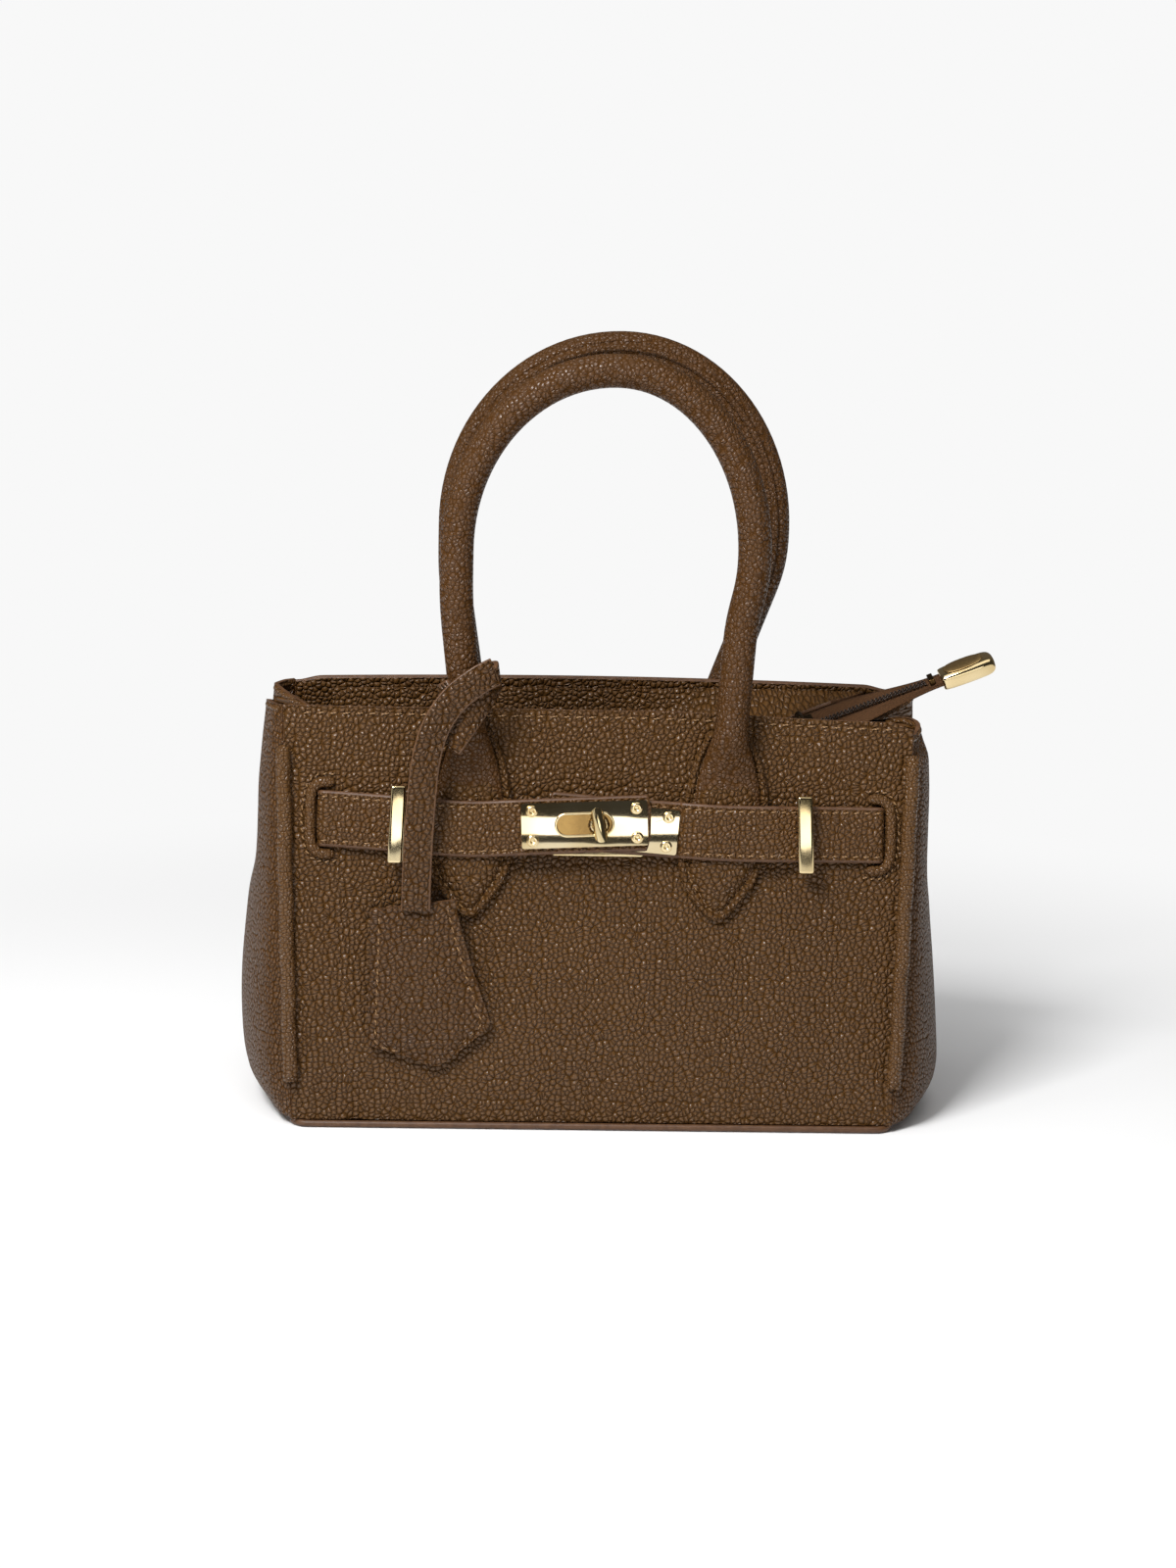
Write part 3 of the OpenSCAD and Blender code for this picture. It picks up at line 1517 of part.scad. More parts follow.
front_panel();
rear_panel();
base_panel();
base_board();
base_piping();
left_gusset();
right_gusset();
lining();
inner_pocket();
front_left_piping();
front_right_piping();
rear_left_piping();
rear_right_piping();
front_facing();
rear_facing();
front_zip_flap();
rear_zip_flap();
front_zip_tape();
rear_zip_tape();
front_zip_coil();
rear_zip_coil();
left_slot_lip();
right_slot_lip();
left_belt();
right_belt();
left_keeper();
right_keeper();
keeper_washers();
lock_base_plate();
lock_back_plate();
left_lock_plate();
right_lock_plate();
left_plate_screws();
right_plate_screws();
lock_toggle();
front_left_tab();
front_right_tab();
rear_left_tab();
rear_right_tab();
front_handle_cover();
front_handle_core();
rear_handle_cover();
rear_handle_core();
tail_tape();
tail_coils();
tail_stop();
tail_cap();
zip_slider();
zip_puller();
key_strap_loop();
key_strap();
key_pouch_front();
key_pouch_back();
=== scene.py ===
"""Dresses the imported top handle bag: pebbled leather, sewing, gilt fittings, zip, key pouch and studio.

Lengths are in millimetres, apart from names that end in _m and what goes into the scene."""

from __future__ import annotations

import logging
import math
from dataclasses import dataclass
from enum import Enum
from functools import cached_property
from typing import Callable, Sequence

import bmesh
import bpy
from mathutils import Matrix, Vector

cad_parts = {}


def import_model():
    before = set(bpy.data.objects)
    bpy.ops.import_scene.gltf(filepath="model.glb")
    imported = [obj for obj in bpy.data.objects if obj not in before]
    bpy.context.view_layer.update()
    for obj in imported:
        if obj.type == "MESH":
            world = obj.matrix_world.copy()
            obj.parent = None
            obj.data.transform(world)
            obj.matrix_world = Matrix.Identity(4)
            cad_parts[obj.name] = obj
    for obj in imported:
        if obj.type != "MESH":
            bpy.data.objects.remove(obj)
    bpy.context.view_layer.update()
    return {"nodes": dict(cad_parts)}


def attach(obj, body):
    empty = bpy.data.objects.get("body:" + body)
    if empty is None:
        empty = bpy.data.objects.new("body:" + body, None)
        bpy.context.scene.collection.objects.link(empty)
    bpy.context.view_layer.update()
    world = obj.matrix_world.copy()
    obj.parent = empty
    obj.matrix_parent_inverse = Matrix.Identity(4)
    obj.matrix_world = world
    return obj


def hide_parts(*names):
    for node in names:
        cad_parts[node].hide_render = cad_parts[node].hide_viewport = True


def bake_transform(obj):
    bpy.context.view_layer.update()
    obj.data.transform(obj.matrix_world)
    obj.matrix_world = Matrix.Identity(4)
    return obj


MM = 0.001
UP = Vector((0, 0, 1))
# Beyond the widest gusset, so that its grain unrolls without a seam in front
SIDE_REACH_M = 0.13
# Height of the slotted lock plates
PLATE_H = 16.0
log = logging.getLogger("top_handle_bag")


class Side(Enum):
    """A side of the bag that also names pieces."""

    @property
    def word(self) -> str:
        """The side as the names of pieces have it."""
        return self.name.lower()


class Hand(Side):
    """Left or right half of the bag, seen from the front."""

    LEFT = -1
    RIGHT = 1


class Face(Side):
    """Front or rear of the bag; the value mirrors a front piece's depth."""

    FRONT = 1
    REAR = -1


class Slot(Enum):
    """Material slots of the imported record."""

    BODY = "body_leather"
    EDGE = "edge_leather"
    LINING = "lining_leather"
    POUCH = "pouch_leather"
    GOLD = "gold_metal"
    TAPE = "zip_tape"
    COIL = "zip_coil"
    CORD = "handle_cord"
    BOARD = "stiff_board"


class Lay(Enum):
    """How a leather's grain lies: flat as seen from the front, wrapped round a side, or through the solid."""

    FRONT = "front"
    SIDE = "side"
    SOLID = "solid"


# The four corners of a rounded oblong, with the angle at which each begins
QUARTERS = ((1, 1, 0), (-1, 1, 90), (-1, -1, 180), (1, -1, 270))
# Lean of a slotted lock plate in degrees, and its place along the belt, up it and out of the face
PLATE_TILT = {Hand.LEFT: 2.7, Hand.RIGHT: -4.5}
PLATE_AT = {Hand.LEFT: (-5.1, 0.0, 9.35), Hand.RIGHT: (6.0, -0.9, 5.55)}
# Height of a belt slot's middle over the lock's
SLOT_RISE = {Hand.LEFT: 0.6, Hand.RIGHT: -2.6}


# Sums and curves


def mix(a: float, b: float, t: float) -> float:
    """Returns the value a share t of the way from a to b."""
    return a + (b - a) * t


def ease(t: float) -> float:
    """Returns t held between 0 and 1 and eased at both ends."""
    c = min(max(t, 0.0), 1.0)
    return c * c * (3 - 2 * c)


def bell(d: float, width: float) -> float:
    """Returns a smooth bump of height 1 at d = 0 that fades over width."""
    return math.exp(-((d / width) ** 2))


def table(points: Sequence[tuple[float, float]], x: float) -> float:
    """Looks x up between listed points.

    Args:
        points: Pairs of place and value, in rising order of place.
        x: The place asked for.

    Returns:
        The value there, held at the ends of the list.
    """
    if x <= points[0][0]:
        return points[0][1]
    for (x0, y0), (x1, y1) in zip(points, points[1:]):
        if x <= x1:
            return mix(y0, y1, (x - x0) / (x1 - x0))
    return points[-1][1]


def smooth_path(points: Sequence[Vector], steps: int) -> list[Vector]:
    """Runs a smooth curve through points.

    Args:
        points: The points that the curve passes.
        steps: How many pieces each stretch is cut into.

    Returns:
        The points of the finer curve.
    """
    path: list[Vector] = []
    last = len(points) - 1
    for i in range(last):
        a, b = points[max(i - 1, 0)], points[i]
        c, d = points[i + 1], points[min(i + 2, last)]
        for s in range(steps):
            t = s / steps
            square, cube = a * 2 - b * 5 + c * 4 - d, b * 3 - c * 3 + d - a
            path.append((b * 2 + (c - a) * t + square * t**2 + cube * t**3) / 2)
    path.append(points[last].copy())
    return path


def bezier(a: Vector, b: Vector, c: Vector, d: Vector, steps: int) -> list[Vector]:
    """Returns the points of a cubic curve from a to d with the handles b and c."""
    return [
        a * (1 - t) ** 3 + b * (3 * t * (1 - t) ** 2) + c * (3 * t * t * (1 - t)) + d * t**3
        for t in (s / steps for s in range(steps + 1))
    ]


def tangent(path: Sequence[Vector], i: int) -> Vector:
    """Returns the unit direction of a path at its point i."""
    return (path[min(i + 1, len(path) - 1)] - path[max(i - 1, 0)]).normalized()


# Meshes

Place = Callable[[int, int], Vector]
Edge = Callable[[float], Vector]


def circle(at: Vector, a: Vector, b: Vector, count: int) -> list[Vector]:
    """Returns a ring of points round a place, with a and b as its half axes."""
    return [at + a * math.cos(w) + b * math.sin(w) for w in (math.tau * k / count for k in range(count))]


def as_mesh(name: str, bm: bmesh.types.BMesh) -> bpy.types.Mesh:
    """Turns a bmesh into a mesh and frees it."""
    mesh = bpy.data.meshes.new(name)
    bm.to_mesh(mesh)
    bm.free()
    return mesh


def merge(bm: bmesh.types.BMesh, part: bmesh.types.BMesh) -> None:
    """Adds a part to a bmesh and frees the part."""
    mesh = as_mesh("part", part)
    bm.from_mesh(mesh)
    bpy.data.meshes.remove(mesh)


def show(name: str, data: bpy.types.ID) -> bpy.types.Object:
    """Puts a new object into the scene."""
    obj = bpy.data.objects.new(name, data)
    bpy.context.scene.collection.objects.link(obj)
    return obj


def round_edges(obj: bpy.types.Object, name: str, width: float, angle: float) -> None:
    """Rounds the edges of an object that turn by more than an angle in degrees."""
    edge = obj.modifiers.new(name, "BEVEL")
    edge.width = width * MM
    edge.segments = 3
    edge.limit_method = "ANGLE"
    edge.angle_limit = math.radians(angle)
    edge.use_clamp_overlap = True


def grid(columns: int, rows: int, place: Place, cloth: tuple[float, float] = (1, 1)) -> bmesh.types.BMesh:
    """Maps a bmesh grid, vertex by vertex.

    Args:
        columns: Faces across.
        rows: Faces up.
        place: Gives the place of vertex (column, row) in millimetres.
        cloth: Size of the sheet that its UV map is measured in, in millimetres.

    Returns:
        The mapped mesh in metres.
    """
    bm = bmesh.new()
    bmesh.ops.create_grid(bm, x_segments=columns, y_segments=rows, size=0.5)
    weave = bm.loops.layers.uv.new("weave")
    for f in bm.faces:
        for loop in f.loops:
            u, v = loop.vert.co.x + 0.5, loop.vert.co.y + 0.5
            loop[weave].uv = (u * cloth[0], v * cloth[1])
    for v in bm.verts:
        i, j = round((v.co.x + 0.5) * columns), round((v.co.y + 0.5) * rows)
        v.co = place(i, j) * MM
    return bm


def tube(
    rings: Sequence[Sequence[Vector]], cloth: tuple[float, float] = (1, 1), ring: bool = False
) -> bmesh.types.BMesh:
    """Skins a row of closed rings.

    Args:
        rings: Rings of equal length, in millimetres.
        cloth: Size that the UV map is measured in.
        ring: True where the last ring joins the first one.

    Returns:
        A closed mesh in metres whose faces point outwards.
    """
    n, m = len(rings[0]), len(rings)
    rows = m if ring else m - 1
    bm = grid(n, rows, lambda i, j: rings[j % m][i % n], cloth)
    bmesh.ops.remove_doubles(bm, verts=bm.verts, dist=1e-7)
    bmesh.ops.holes_fill(bm, edges=bm.edges, sides=0)
    bmesh.ops.recalc_face_normals(bm, faces=bm.faces)
    return bm


def leaf(
    columns: int,
    rows: int,
    place: Place,
    thickness: float,
    cloth: tuple[float, float] = (1, 1),
    hole: Callable[[Vector], bool] | None = None,
) -> bmesh.types.BMesh:
    """Makes a sheet of leather or tape: an outer face, a wall behind it and a rim in the second finish.

    Args:
        columns: Faces across.
        rows: Faces up.
        place: Place of vertex (column, row) in millimetres; across by up points outwards.
        thickness: Thickness behind the face in millimetres.
        cloth: Size that the UV map is measured in.
        hole: Says which faces are left out, by the middle of the face in millimetres.

    Returns:
        A closed mesh in metres.
    """
    bm = grid(columns, rows, place, cloth)
    if hole:
        out = [f for f in bm.faces if hole(f.calc_center_median() / MM)]
        bmesh.ops.delete(bm, geom=out, context="FACES")
    bmesh.ops.remove_doubles(bm, verts=bm.verts, dist=1e-7)
    bm.normal_update()
    rim = [e for e in bm.edges if e.is_boundary]
    outer = set(bm.faces)
    bmesh.ops.solidify(bm, geom=bm.faces[:], thickness=thickness * MM)
    for e in rim:
        for f in e.link_faces:
            if f not in outer:
                f.material_index = 1
    return bm


def paint_sides(bm: bmesh.types.BMesh, points: int, face_points: int) -> None:
    """Gives a strap's two edges the second finish.

    Args:
        bm: A strap skinned round its section, with its unit UV map.
        points: Points round the section.
        face_points: How many of them lie on the flat face.
    """
    weave = bm.loops.layers.uv["weave"]
    for f in bm.faces:
        k = int(sum(loop[weave].uv.x for loop in f.loops) / len(f.loops) * points)
        if face_points - 1 <= k < face_points + 6 or k >= points - 5:
            f.material_index = 1


def rounded_section(
    width: float, thick: float, radius: float, inset: float = 0.0, groove: float = 0.0
) -> list[tuple[float, float]]:
    """Outlines a strap's cross-section.

    Args:
        width: Width of the strap.
        thick: Its thickness.
        radius: Radius of its painted edges.
        inset: Distance of the stitch grooves from the edges, or 0 for none.
        groove: Depth of those grooves.

    Returns:
        Points (across, out) round the section, starting at the face's left edge.
    """
    half, top = width / 2 - radius, thick / 2
    arc = [math.radians(a) for a in (90, 60, 30, 0)]
    corner = [(half + radius * math.cos(a), top - radius + radius * math.sin(a)) for a in arc]
    shares = [0.0, 0.35, 0.65, 1.0]
    face = [(mix(-half, half, s), top) for s in shares]
    if inset:
        line = width / 2 - inset
        places = sorted(s * (line + d) for s in (-1, 1) for d in (-0.9, -0.35, 0, 0.35, 0.9))
        cuts = [(x, top - groove * bell(abs(x) - line, 0.45)) for x in places]
        face = [(-half, top), *cuts[:5], (-line / 3, top), (line / 3, top), *cuts[5:], (half, top)]
    right = corner[1:] + [(x, -y) for x, y in reversed(corner)]
    back = [(mix(half, -half, s), -top) for s in shares[1:]]
    left = [(-x, y) for x, y in reversed(right)][1:]
    return face + right + back[:-1] + left[:-1]


def strap_rings(
    path: Sequence[Vector], across: Sequence[Vector], section: Sequence[tuple[float, float]]
) -> list[list[Vector]]:
    """Carries a strap's cross-section along a path.

    Args:
        path: Middle line in millimetres.
        across: Direction of the width at each point.
        section: Points (across, out); out is across by the direction of travel.

    Returns:
        One ring of points for each point of the path.
    """
    rings = []
    for i, p in enumerate(path):
        t = tangent(path, i)
        a = (across[i] - t * across[i].dot(t)).normalized()
        out = a.cross(t)
        rings.append([p + a * x + out * y for x, y in section])
    return rings


def pin_matrix(at: Vector, along: Vector, out: Vector, size: Vector) -> Matrix:
    """Returns the matrix that lays a unit shape along a direction, its Z out of the leather, in a given size."""
    side = out.cross(along).normalized()
    top = along.cross(side).normalized()
    turn = Matrix((along, side, top)).transposed().to_4x4()
    return Matrix.Translation(at * MM) @ turn @ Matrix.Diagonal((*(size * MM), 1.0))


# Finishes

Socket = bpy.types.NodeSocket
Stops = tuple[tuple[float, str], ...]


def linear(hex_code: str) -> tuple[float, float, float, float]:
    """Turns an sRGB hex colour into linear RGBA."""
    values = [int(hex_code[i : i + 2], 16) / 255 for i in (1, 3, 5)]
    r, g, b = (v / 12.92 if v <= 0.04045 else ((v + 0.055) / 1.055) ** 2.4 for v in values)
    return (r, g, b, 1.0)


class Graph:
    """Node tree of a material or of the world, with the steps that the finishes share."""

    def __init__(self, owner: bpy.types.Material | bpy.types.World) -> None:
        """Takes over the owner's node tree and empties it."""
        owner.use_nodes = True
        self.tree = owner.node_tree
        self.tree.nodes.clear()

    def add(self, kind: str, inputs: dict[str | int, object] | None = None, **settings: object) -> bpy.types.Node:
        """Adds a node with its settings and links.

        Args:
            kind: The node's type without the word ShaderNode.
            inputs: For each input, a socket to link from or a value to set.
            settings: The node's own properties.

        Returns:
            The new node.
        """
        node = self.tree.nodes.new(f"ShaderNode{kind}")
        for name, value in settings.items():
            setattr(node, name, value)
        for name, value in (inputs or {}).items():
            if isinstance(value, Socket):
                self.tree.links.new(value, node.inputs[name])
            else:
                node.inputs[name].default_value = value
        return node

    @cached_property
    def place(self) -> Socket:
        """Object coordinates in metres."""
        return self.add("TexCoord").outputs["Object"]

    def math(self, operation: str, *values: Socket | float) -> Socket:
        """Returns the result of one sum."""
        return self.add("Math", dict(enumerate(values)), operation=operation).outputs[0]

    def noise(self, scale: float, detail: float, output: str = "Fac") -> Socket:
        """Returns cloudy noise through the object."""
        return self.add("TexNoise", {"Vector": self.place, "Scale": scale, "Detail": detail}).outputs[output]

    def remap(
        self,
        value: Socket,
        start: tuple[float, float] = (0.0, 1.0),
        end: tuple[float, float] = (0.0, 1.0),
        smooth: bool = False,
    ) -> Socket:
        """Maps a range of values onto another.

        Args:
            value: The value to map.
            start: The range it comes from.
            end: The range it goes to.
            smooth: True to ease both ends.

        Returns:
            The mapped value, held at the ends.
        """
        limits = {"From Min": start[0], "From Max": start[1], "To Min": end[0], "To Max": end[1]}
        way = "SMOOTHSTEP" if smooth else "LINEAR"
        return self.add("MapRange", {"Value": value, **limits}, interpolation_type=way).outputs[0]

    def bump(self, height: Socket, depth: float, strength: float = 1.0, normal: Socket | None = None) -> Socket:
        """Presses a height, in millimetres of depth, into the surface and returns the normal."""
        below = {"Normal": normal} if normal else {}
        return self.add("Bump", {"Height": height, "Distance": depth * MM, "Strength": strength, **below}).outputs[0]

    def ramp(self, factor: Socket, stops: Stops) -> Socket:
        """Colours a factor by stops of place and hex colour, and returns the colour."""
        node = self.add("ValToRGB", {0: factor})
        while len(node.color_ramp.elements) < len(stops):
            node.color_ramp.elements.new(0.5)
        for element, (place, colour) in zip(node.color_ramp.elements, stops):
            element.position = place
            element.color = linear(colour)
        return node.outputs[0]

    def coat(self, pattern: Socket, stops: Stops, depth: float, look: dict[str, object]) -> None:
        """Colours a pattern, presses it in and ends the tree in one surface.

        Args:
            pattern: The texture.
            stops: Its colours.
            depth: Its depth in millimetres.
            look: The rest of the surface's inputs.
        """
        self.surface({"Base Color": self.ramp(pattern, stops), "Normal": self.bump(pattern, depth), **look})

    def surface(self, look: dict[str, object]) -> None:
        """Ends the tree in one principled surface."""
        self.add("OutputMaterial", {0: self.add("BsdfPrincipled", look).outputs[0]})


@dataclass(frozen=True)
class Finish:
    """A finish of the bag. Its colours run from dark to light, and its sizes are in millimetres."""

    name: str

    def material(self) -> bpy.types.Material:
        """Makes the material."""
        material = bpy.data.materials.new(self.name)
        self.paint(Graph(material))
        return material

    def paint(self, graph: Graph) -> None:
        """Builds the finish in an empty node tree."""
        raise NotImplementedError


@dataclass(frozen=True)
class PebbledLeather(Finish):
    """Shrunken-grain leather: rounded pebbles with creases between them, painted darker as shade, and a satin top coat.
    """

    # Colour painted into the creases as shade, which the bump alone doesn't give
    crease: str
    body: str
    crown: str
    grain: float = 1.85
    depth: float = 0.85
    roughness: float = 0.31
    swell: float = 3.0
    lay: Lay = Lay.FRONT

    def hide(self, graph: Graph) -> Socket:
        """Returns coordinates in metres whose first two axes run along the leather, unless it lies in the solid."""
        if self.lay is Lay.SOLID:
            return graph.place
        parts = graph.add("SeparateXYZ", {0: graph.place})
        along = parts.outputs["X"]
        if self.lay is Lay.SIDE:
            short = graph.math("SUBTRACT", SIDE_REACH_M, graph.math("ABSOLUTE", along))
            half = graph.math("SIGN", parts.outputs["Y"])
            along = graph.math("MULTIPLY_ADD", half, short, parts.outputs["Y"])
        return graph.add("CombineXYZ", {"X": along, "Y": parts.outputs["Z"]}).outputs[0]

    def paint(self, graph: Graph) -> None:
        """Builds the leather: pebbles and pores, a slow swell, and creases painted darker than the pebbles' tops as
        shade.
        """
        wander = graph.noise(260.0, 1.0, "Color")
        bent = graph.add(
            "VectorMath",
            {0: wander, 1: (self.grain * 0.6 * MM,) * 3, 2: self.hide(graph)},
            operation="MULTIPLY_ADD",
        ).outputs[0]
        cells = {"Vector": bent, "Scale": 1 / (self.grain * MM), "Randomness": 1.0}
        flat = "3D" if self.lay is Lay.SOLID else "2D"
        edge = graph.add(
            "TexVoronoi", cells, feature="DISTANCE_TO_EDGE", voronoi_dimensions=flat
        ).outputs["Distance"]
        dome = graph.add(
            "TexVoronoi", {**cells, "Smoothness": 0.35}, feature="SMOOTH_F1", voronoi_dimensions=flat
        ).outputs["Distance"]
        pebble = graph.remap(edge, (0.0, 0.28), smooth=True)
        # Mask of the creases, where the ramp paints shade into the colour
        line = graph.remap(edge, (0.0, 0.1))
        round_top = graph.remap(graph.math("MULTIPLY", dome, dome), (0.6, 0.0))
        height = graph.math("MULTIPLY_ADD", round_top, 1.0, pebble)
        height = graph.math("MULTIPLY_ADD", graph.noise(3000.0, 2.0), 0.12, height)
        fine = graph.bump(height, self.depth, 0.85)
        # Painted shade: the dark colour goes into the creases; elsewhere the leather's own tone wanders at random
        shade = graph.math("MULTIPLY_ADD", line, 0.34, 0.26)
        shade = graph.math("MULTIPLY_ADD", graph.noise(30.0, 3.0), 0.22, shade)
        graph.surface(
            {
                "Base Color": graph.ramp(shade, ((0.3, self.crease), (0.6, self.body), (0.95, self.crown))),
                "Roughness": graph.remap(pebble, end=(self.roughness + 0.25, self.roughness)),
                "Normal": graph.bump(graph.noise(38.0, 2.0), self.swell, 0.6, fine),
                "IOR": 1.45,
                # Creases see little of the room, so they shine less than the pebbles' tops.
                "Specular IOR Level": graph.remap(height, (0.3, 1.4), (0.04, 0.5)),
            }
        )


@dataclass(frozen=True)
class PaintedEdge(Finish):
    """Edge paint on cut leather: smooth, a little lighter than the grain, slightly uneven."""

    low: str
    high: str
    roughness: float = 0.45

    def paint(self, graph: Graph) -> None:
        """Builds the painted edge."""
        stops = ((0.3, self.low), (0.7, self.high))
        graph.coat(graph.noise(500.0, 3.0), stops, 0.08, {"Roughness": self.roughness, "IOR": 1.47})


@dataclass(frozen=True)
class GiltMetal(Finish):
    """Pale gold plating on polished zinc: mirror bright or brushed, gently wavy, with faint hairlines.

    A pillow gives the height of the piece's middle, and how far its rim turns away.
    """

    low: str
    high: str
    roughness: float = 0.1
    wave: float = 0.25
    pillow: tuple[float, float] = (0.0, 0.0)

    def paint(self, graph: Graph) -> None:
        """Builds the plating."""
        wave = graph.noise(60.0, 1.0)
        bump = graph.bump(wave, self.wave)
        middle, turn = self.pillow
        if turn:
            rise = graph.add("SeparateXYZ", {0: graph.place}).outputs["Z"]
            off = graph.math("SUBTRACT", rise, middle * MM)
            sunk = graph.math("MULTIPLY", graph.math("MULTIPLY", off, off), -turn / (PLATE_H / 2 * MM) ** 2)
            bump = graph.bump(sunk, 1.0, normal=bump)
        gloss = graph.remap(graph.noise(1500.0, 2.0), end=(self.roughness * 0.7, self.roughness * 1.3))
        colour = graph.ramp(wave, ((0.35, self.low), (0.65, self.high)))
        graph.surface({"Base Color": colour, "Metallic": 1.0, "Roughness": gloss, "Normal": bump})


@dataclass(frozen=True)
class WovenTape(Finish):
    """Twill polyester tape: fine ribs of thread at a slant, drawn a little coarser than real to show."""

    low: str
    high: str
    thread: float = 0.55
    slant: float = math.radians(38)

    def paint(self, graph: Graph) -> None:
        """Builds the tape. Its pattern follows the piece's own UV map, in millimetres."""
        place = graph.add("UVMap", uv_map="weave").outputs[0]
        turned = graph.add("Mapping", {"Vector": place, "Rotation": (0.0, 0.0, self.slant)}).outputs[0]
        scale = 1 / (self.thread * math.tau) * math.pi
        ribs = graph.add(
            "TexWave",
            {"Vector": turned, "Scale": scale, "Distortion": 0.6, "Detail": 1.0, "Detail Scale": 2.0},
        ).outputs["Fac"]
        ends = graph.add(
            "TexWave", {"Vector": place, "Scale": scale * 0.8, "Distortion": 0.4}, bands_direction="Y"
        ).outputs["Fac"]
        stops = ((0.05, self.low), (0.7, self.high))
        graph.coat(graph.math("MULTIPLY", ribs, ends), stops, 0.16, {"Roughness": 0.85, "Specular IOR Level": 0.15})


@dataclass(frozen=True)
class SpunThread(Finish):
    """Twisted polyester sewing thread or cord: slanted plies with a soft shine."""

    low: str
    high: str
    ply: float = 0.35
    roughness: float = 0.55

    def paint(self, graph: Graph) -> None:
        """Builds the thread."""
        scale = 0.5 / (self.ply * MM) / math.pi
        plies = graph.add(
            "TexWave", {"Vector": graph.place, "Scale": scale, "Distortion": 1.0}, bands_direction="DIAGONAL"
        ).outputs["Fac"]
        graph.coat(plies, ((0.1, self.low), (0.8, self.high)), 0.08, {"Roughness": self.roughness})


@dataclass(frozen=True)
class MouldedNylon(Finish):
    """Extruded nylon coil or pressed board: near plain, with a faint drawn texture."""

    low: str
    high: str
    roughness: float = 0.35
    speck: float = 0.4

    def paint(self, graph: Graph) -> None:
        """Builds the plastic or board."""
        fleck = graph.noise(1 / (self.speck * MM), 3.0)
        graph.coat(fleck, ((0.3, self.low), (0.75, self.high)), 0.03, {"Roughness": self.roughness})


@dataclass(frozen=True)
class StudioPaper(Finish):
    """Matt white background paper that fades into the room's pale background further out."""

    floor: str
    far: str
    near_m: float = 0.12
    far_m: float = 0.56

    def paint(self, graph: Graph) -> None:
        """Builds the paper: it takes shadows near the object, and the camera sees only the background beyond."""
        away = graph.add("VectorMath", {0: graph.place}, operation="LENGTH").outputs["Value"]
        fade = graph.remap(away, (self.near_m, self.far_m), smooth=True)
        path = graph.add("LightPath").outputs
        seen = graph.math("MAXIMUM", path["Is Camera Ray"], path["Is Glossy Ray"])
        paper = graph.add("BsdfDiffuse", {"Color": linear(self.floor)})
        glow = graph.add("Emission", {"Color": linear(self.far)})
        shader = {0: graph.math("MULTIPLY", seen, fade), 1: paper.outputs[0], 2: glow.outputs[0]}
        graph.add("OutputMaterial", {0: graph.add("MixShader", shader).outputs[0]})


class Finishes:
    """Every material of the bag, made once."""

    def __init__(self) -> None:
        """Makes the materials."""
        # The first colour of each pebbled leather is shade painted into its creases
        self.leather = PebbledLeather("pebbled_leather", "#2d1b0a", "#543819", "#614322").material()
        self.gusset = PebbledLeather(
            "gusset_leather", "#2d1b0a", "#543615", "#603f1c", roughness=0.38, lay=Lay.SIDE
        ).material()
        self.handle = PebbledLeather(
            "handle_leather", "#33200e", "#4b3015", "#57391b", grain=1.6, depth=0.3, roughness=0.32, lay=Lay.SOLID
        ).material()
        self.piping = PebbledLeather(
            "piping_leather", "#352010", "#54391d", "#614526", grain=1.4, depth=0.3, roughness=0.26, swell=0.8
        ).material()
        self.edge = PaintedEdge("edge_paint", "#472c16", "#5c3e25", 0.5).material()
        self.belt = PebbledLeather(
            "belt_leather", "#301c0a", "#54381a", "#614323", grain=1.7, depth=0.7, roughness=0.3, swell=1.5
        ).material()
        self.lining = PebbledLeather(
            "lining_leather", "#24180f", "#3f2d1e", "#4a3625", grain=0.8, depth=0.05, roughness=0.6, lay=Lay.SOLID
        ).material()
        self.pouch = PebbledLeather(
            "pouch_leather", "#2a1909", "#4d3215", "#593b1a", grain=1.9, depth=0.85
        ).material()
        self.pouch_edge = PaintedEdge("pouch_edge_paint", "#4c321b", "#664830", 0.42).material()
        self.gold = GiltMetal("pale_gold_plating", "#dcc390", "#efdcb0").material()
        self.plate = GiltMetal("pale_gold_mirror_plate", "#e0c896", "#f0deb6", 0.06, 0.12, (110.2, 0.42)).material()
        # Gold painted darker as the shade in the lock slot's recess
        self.shade = GiltMetal("slot_floor_shade_gold", "#6e5430", "#9a7c4a", 0.22, 0.1).material()
        # Darker than the other gilt fittings, so that the stop, slider and puller stand out less
        self.brass = GiltMetal("dark_brass_plating", "#3c2c18", "#5a4427", 0.3, 0.1).material()
        self.champagne = GiltMetal("matt_champagne_plating", "#a08457", "#b2976a", 0.42, 0.05).material()
        self.tape = WovenTape("twill_zip_tape", "#3e2816", "#735033").material()
        self.coil = MouldedNylon("nylon_zip_coil", "#1c130d", "#3a2a1f").material()
        self.thread = SpunThread("sewing_thread", "#5c4024", "#927048").material()
        self.cord = SpunThread("wound_cord", "#8d7d60", "#b9a988", 0.8, 0.8).material()
        self.board = MouldedNylon("pressed_board", "#7a6a53", "#94836a", 0.8, 1.2).material()


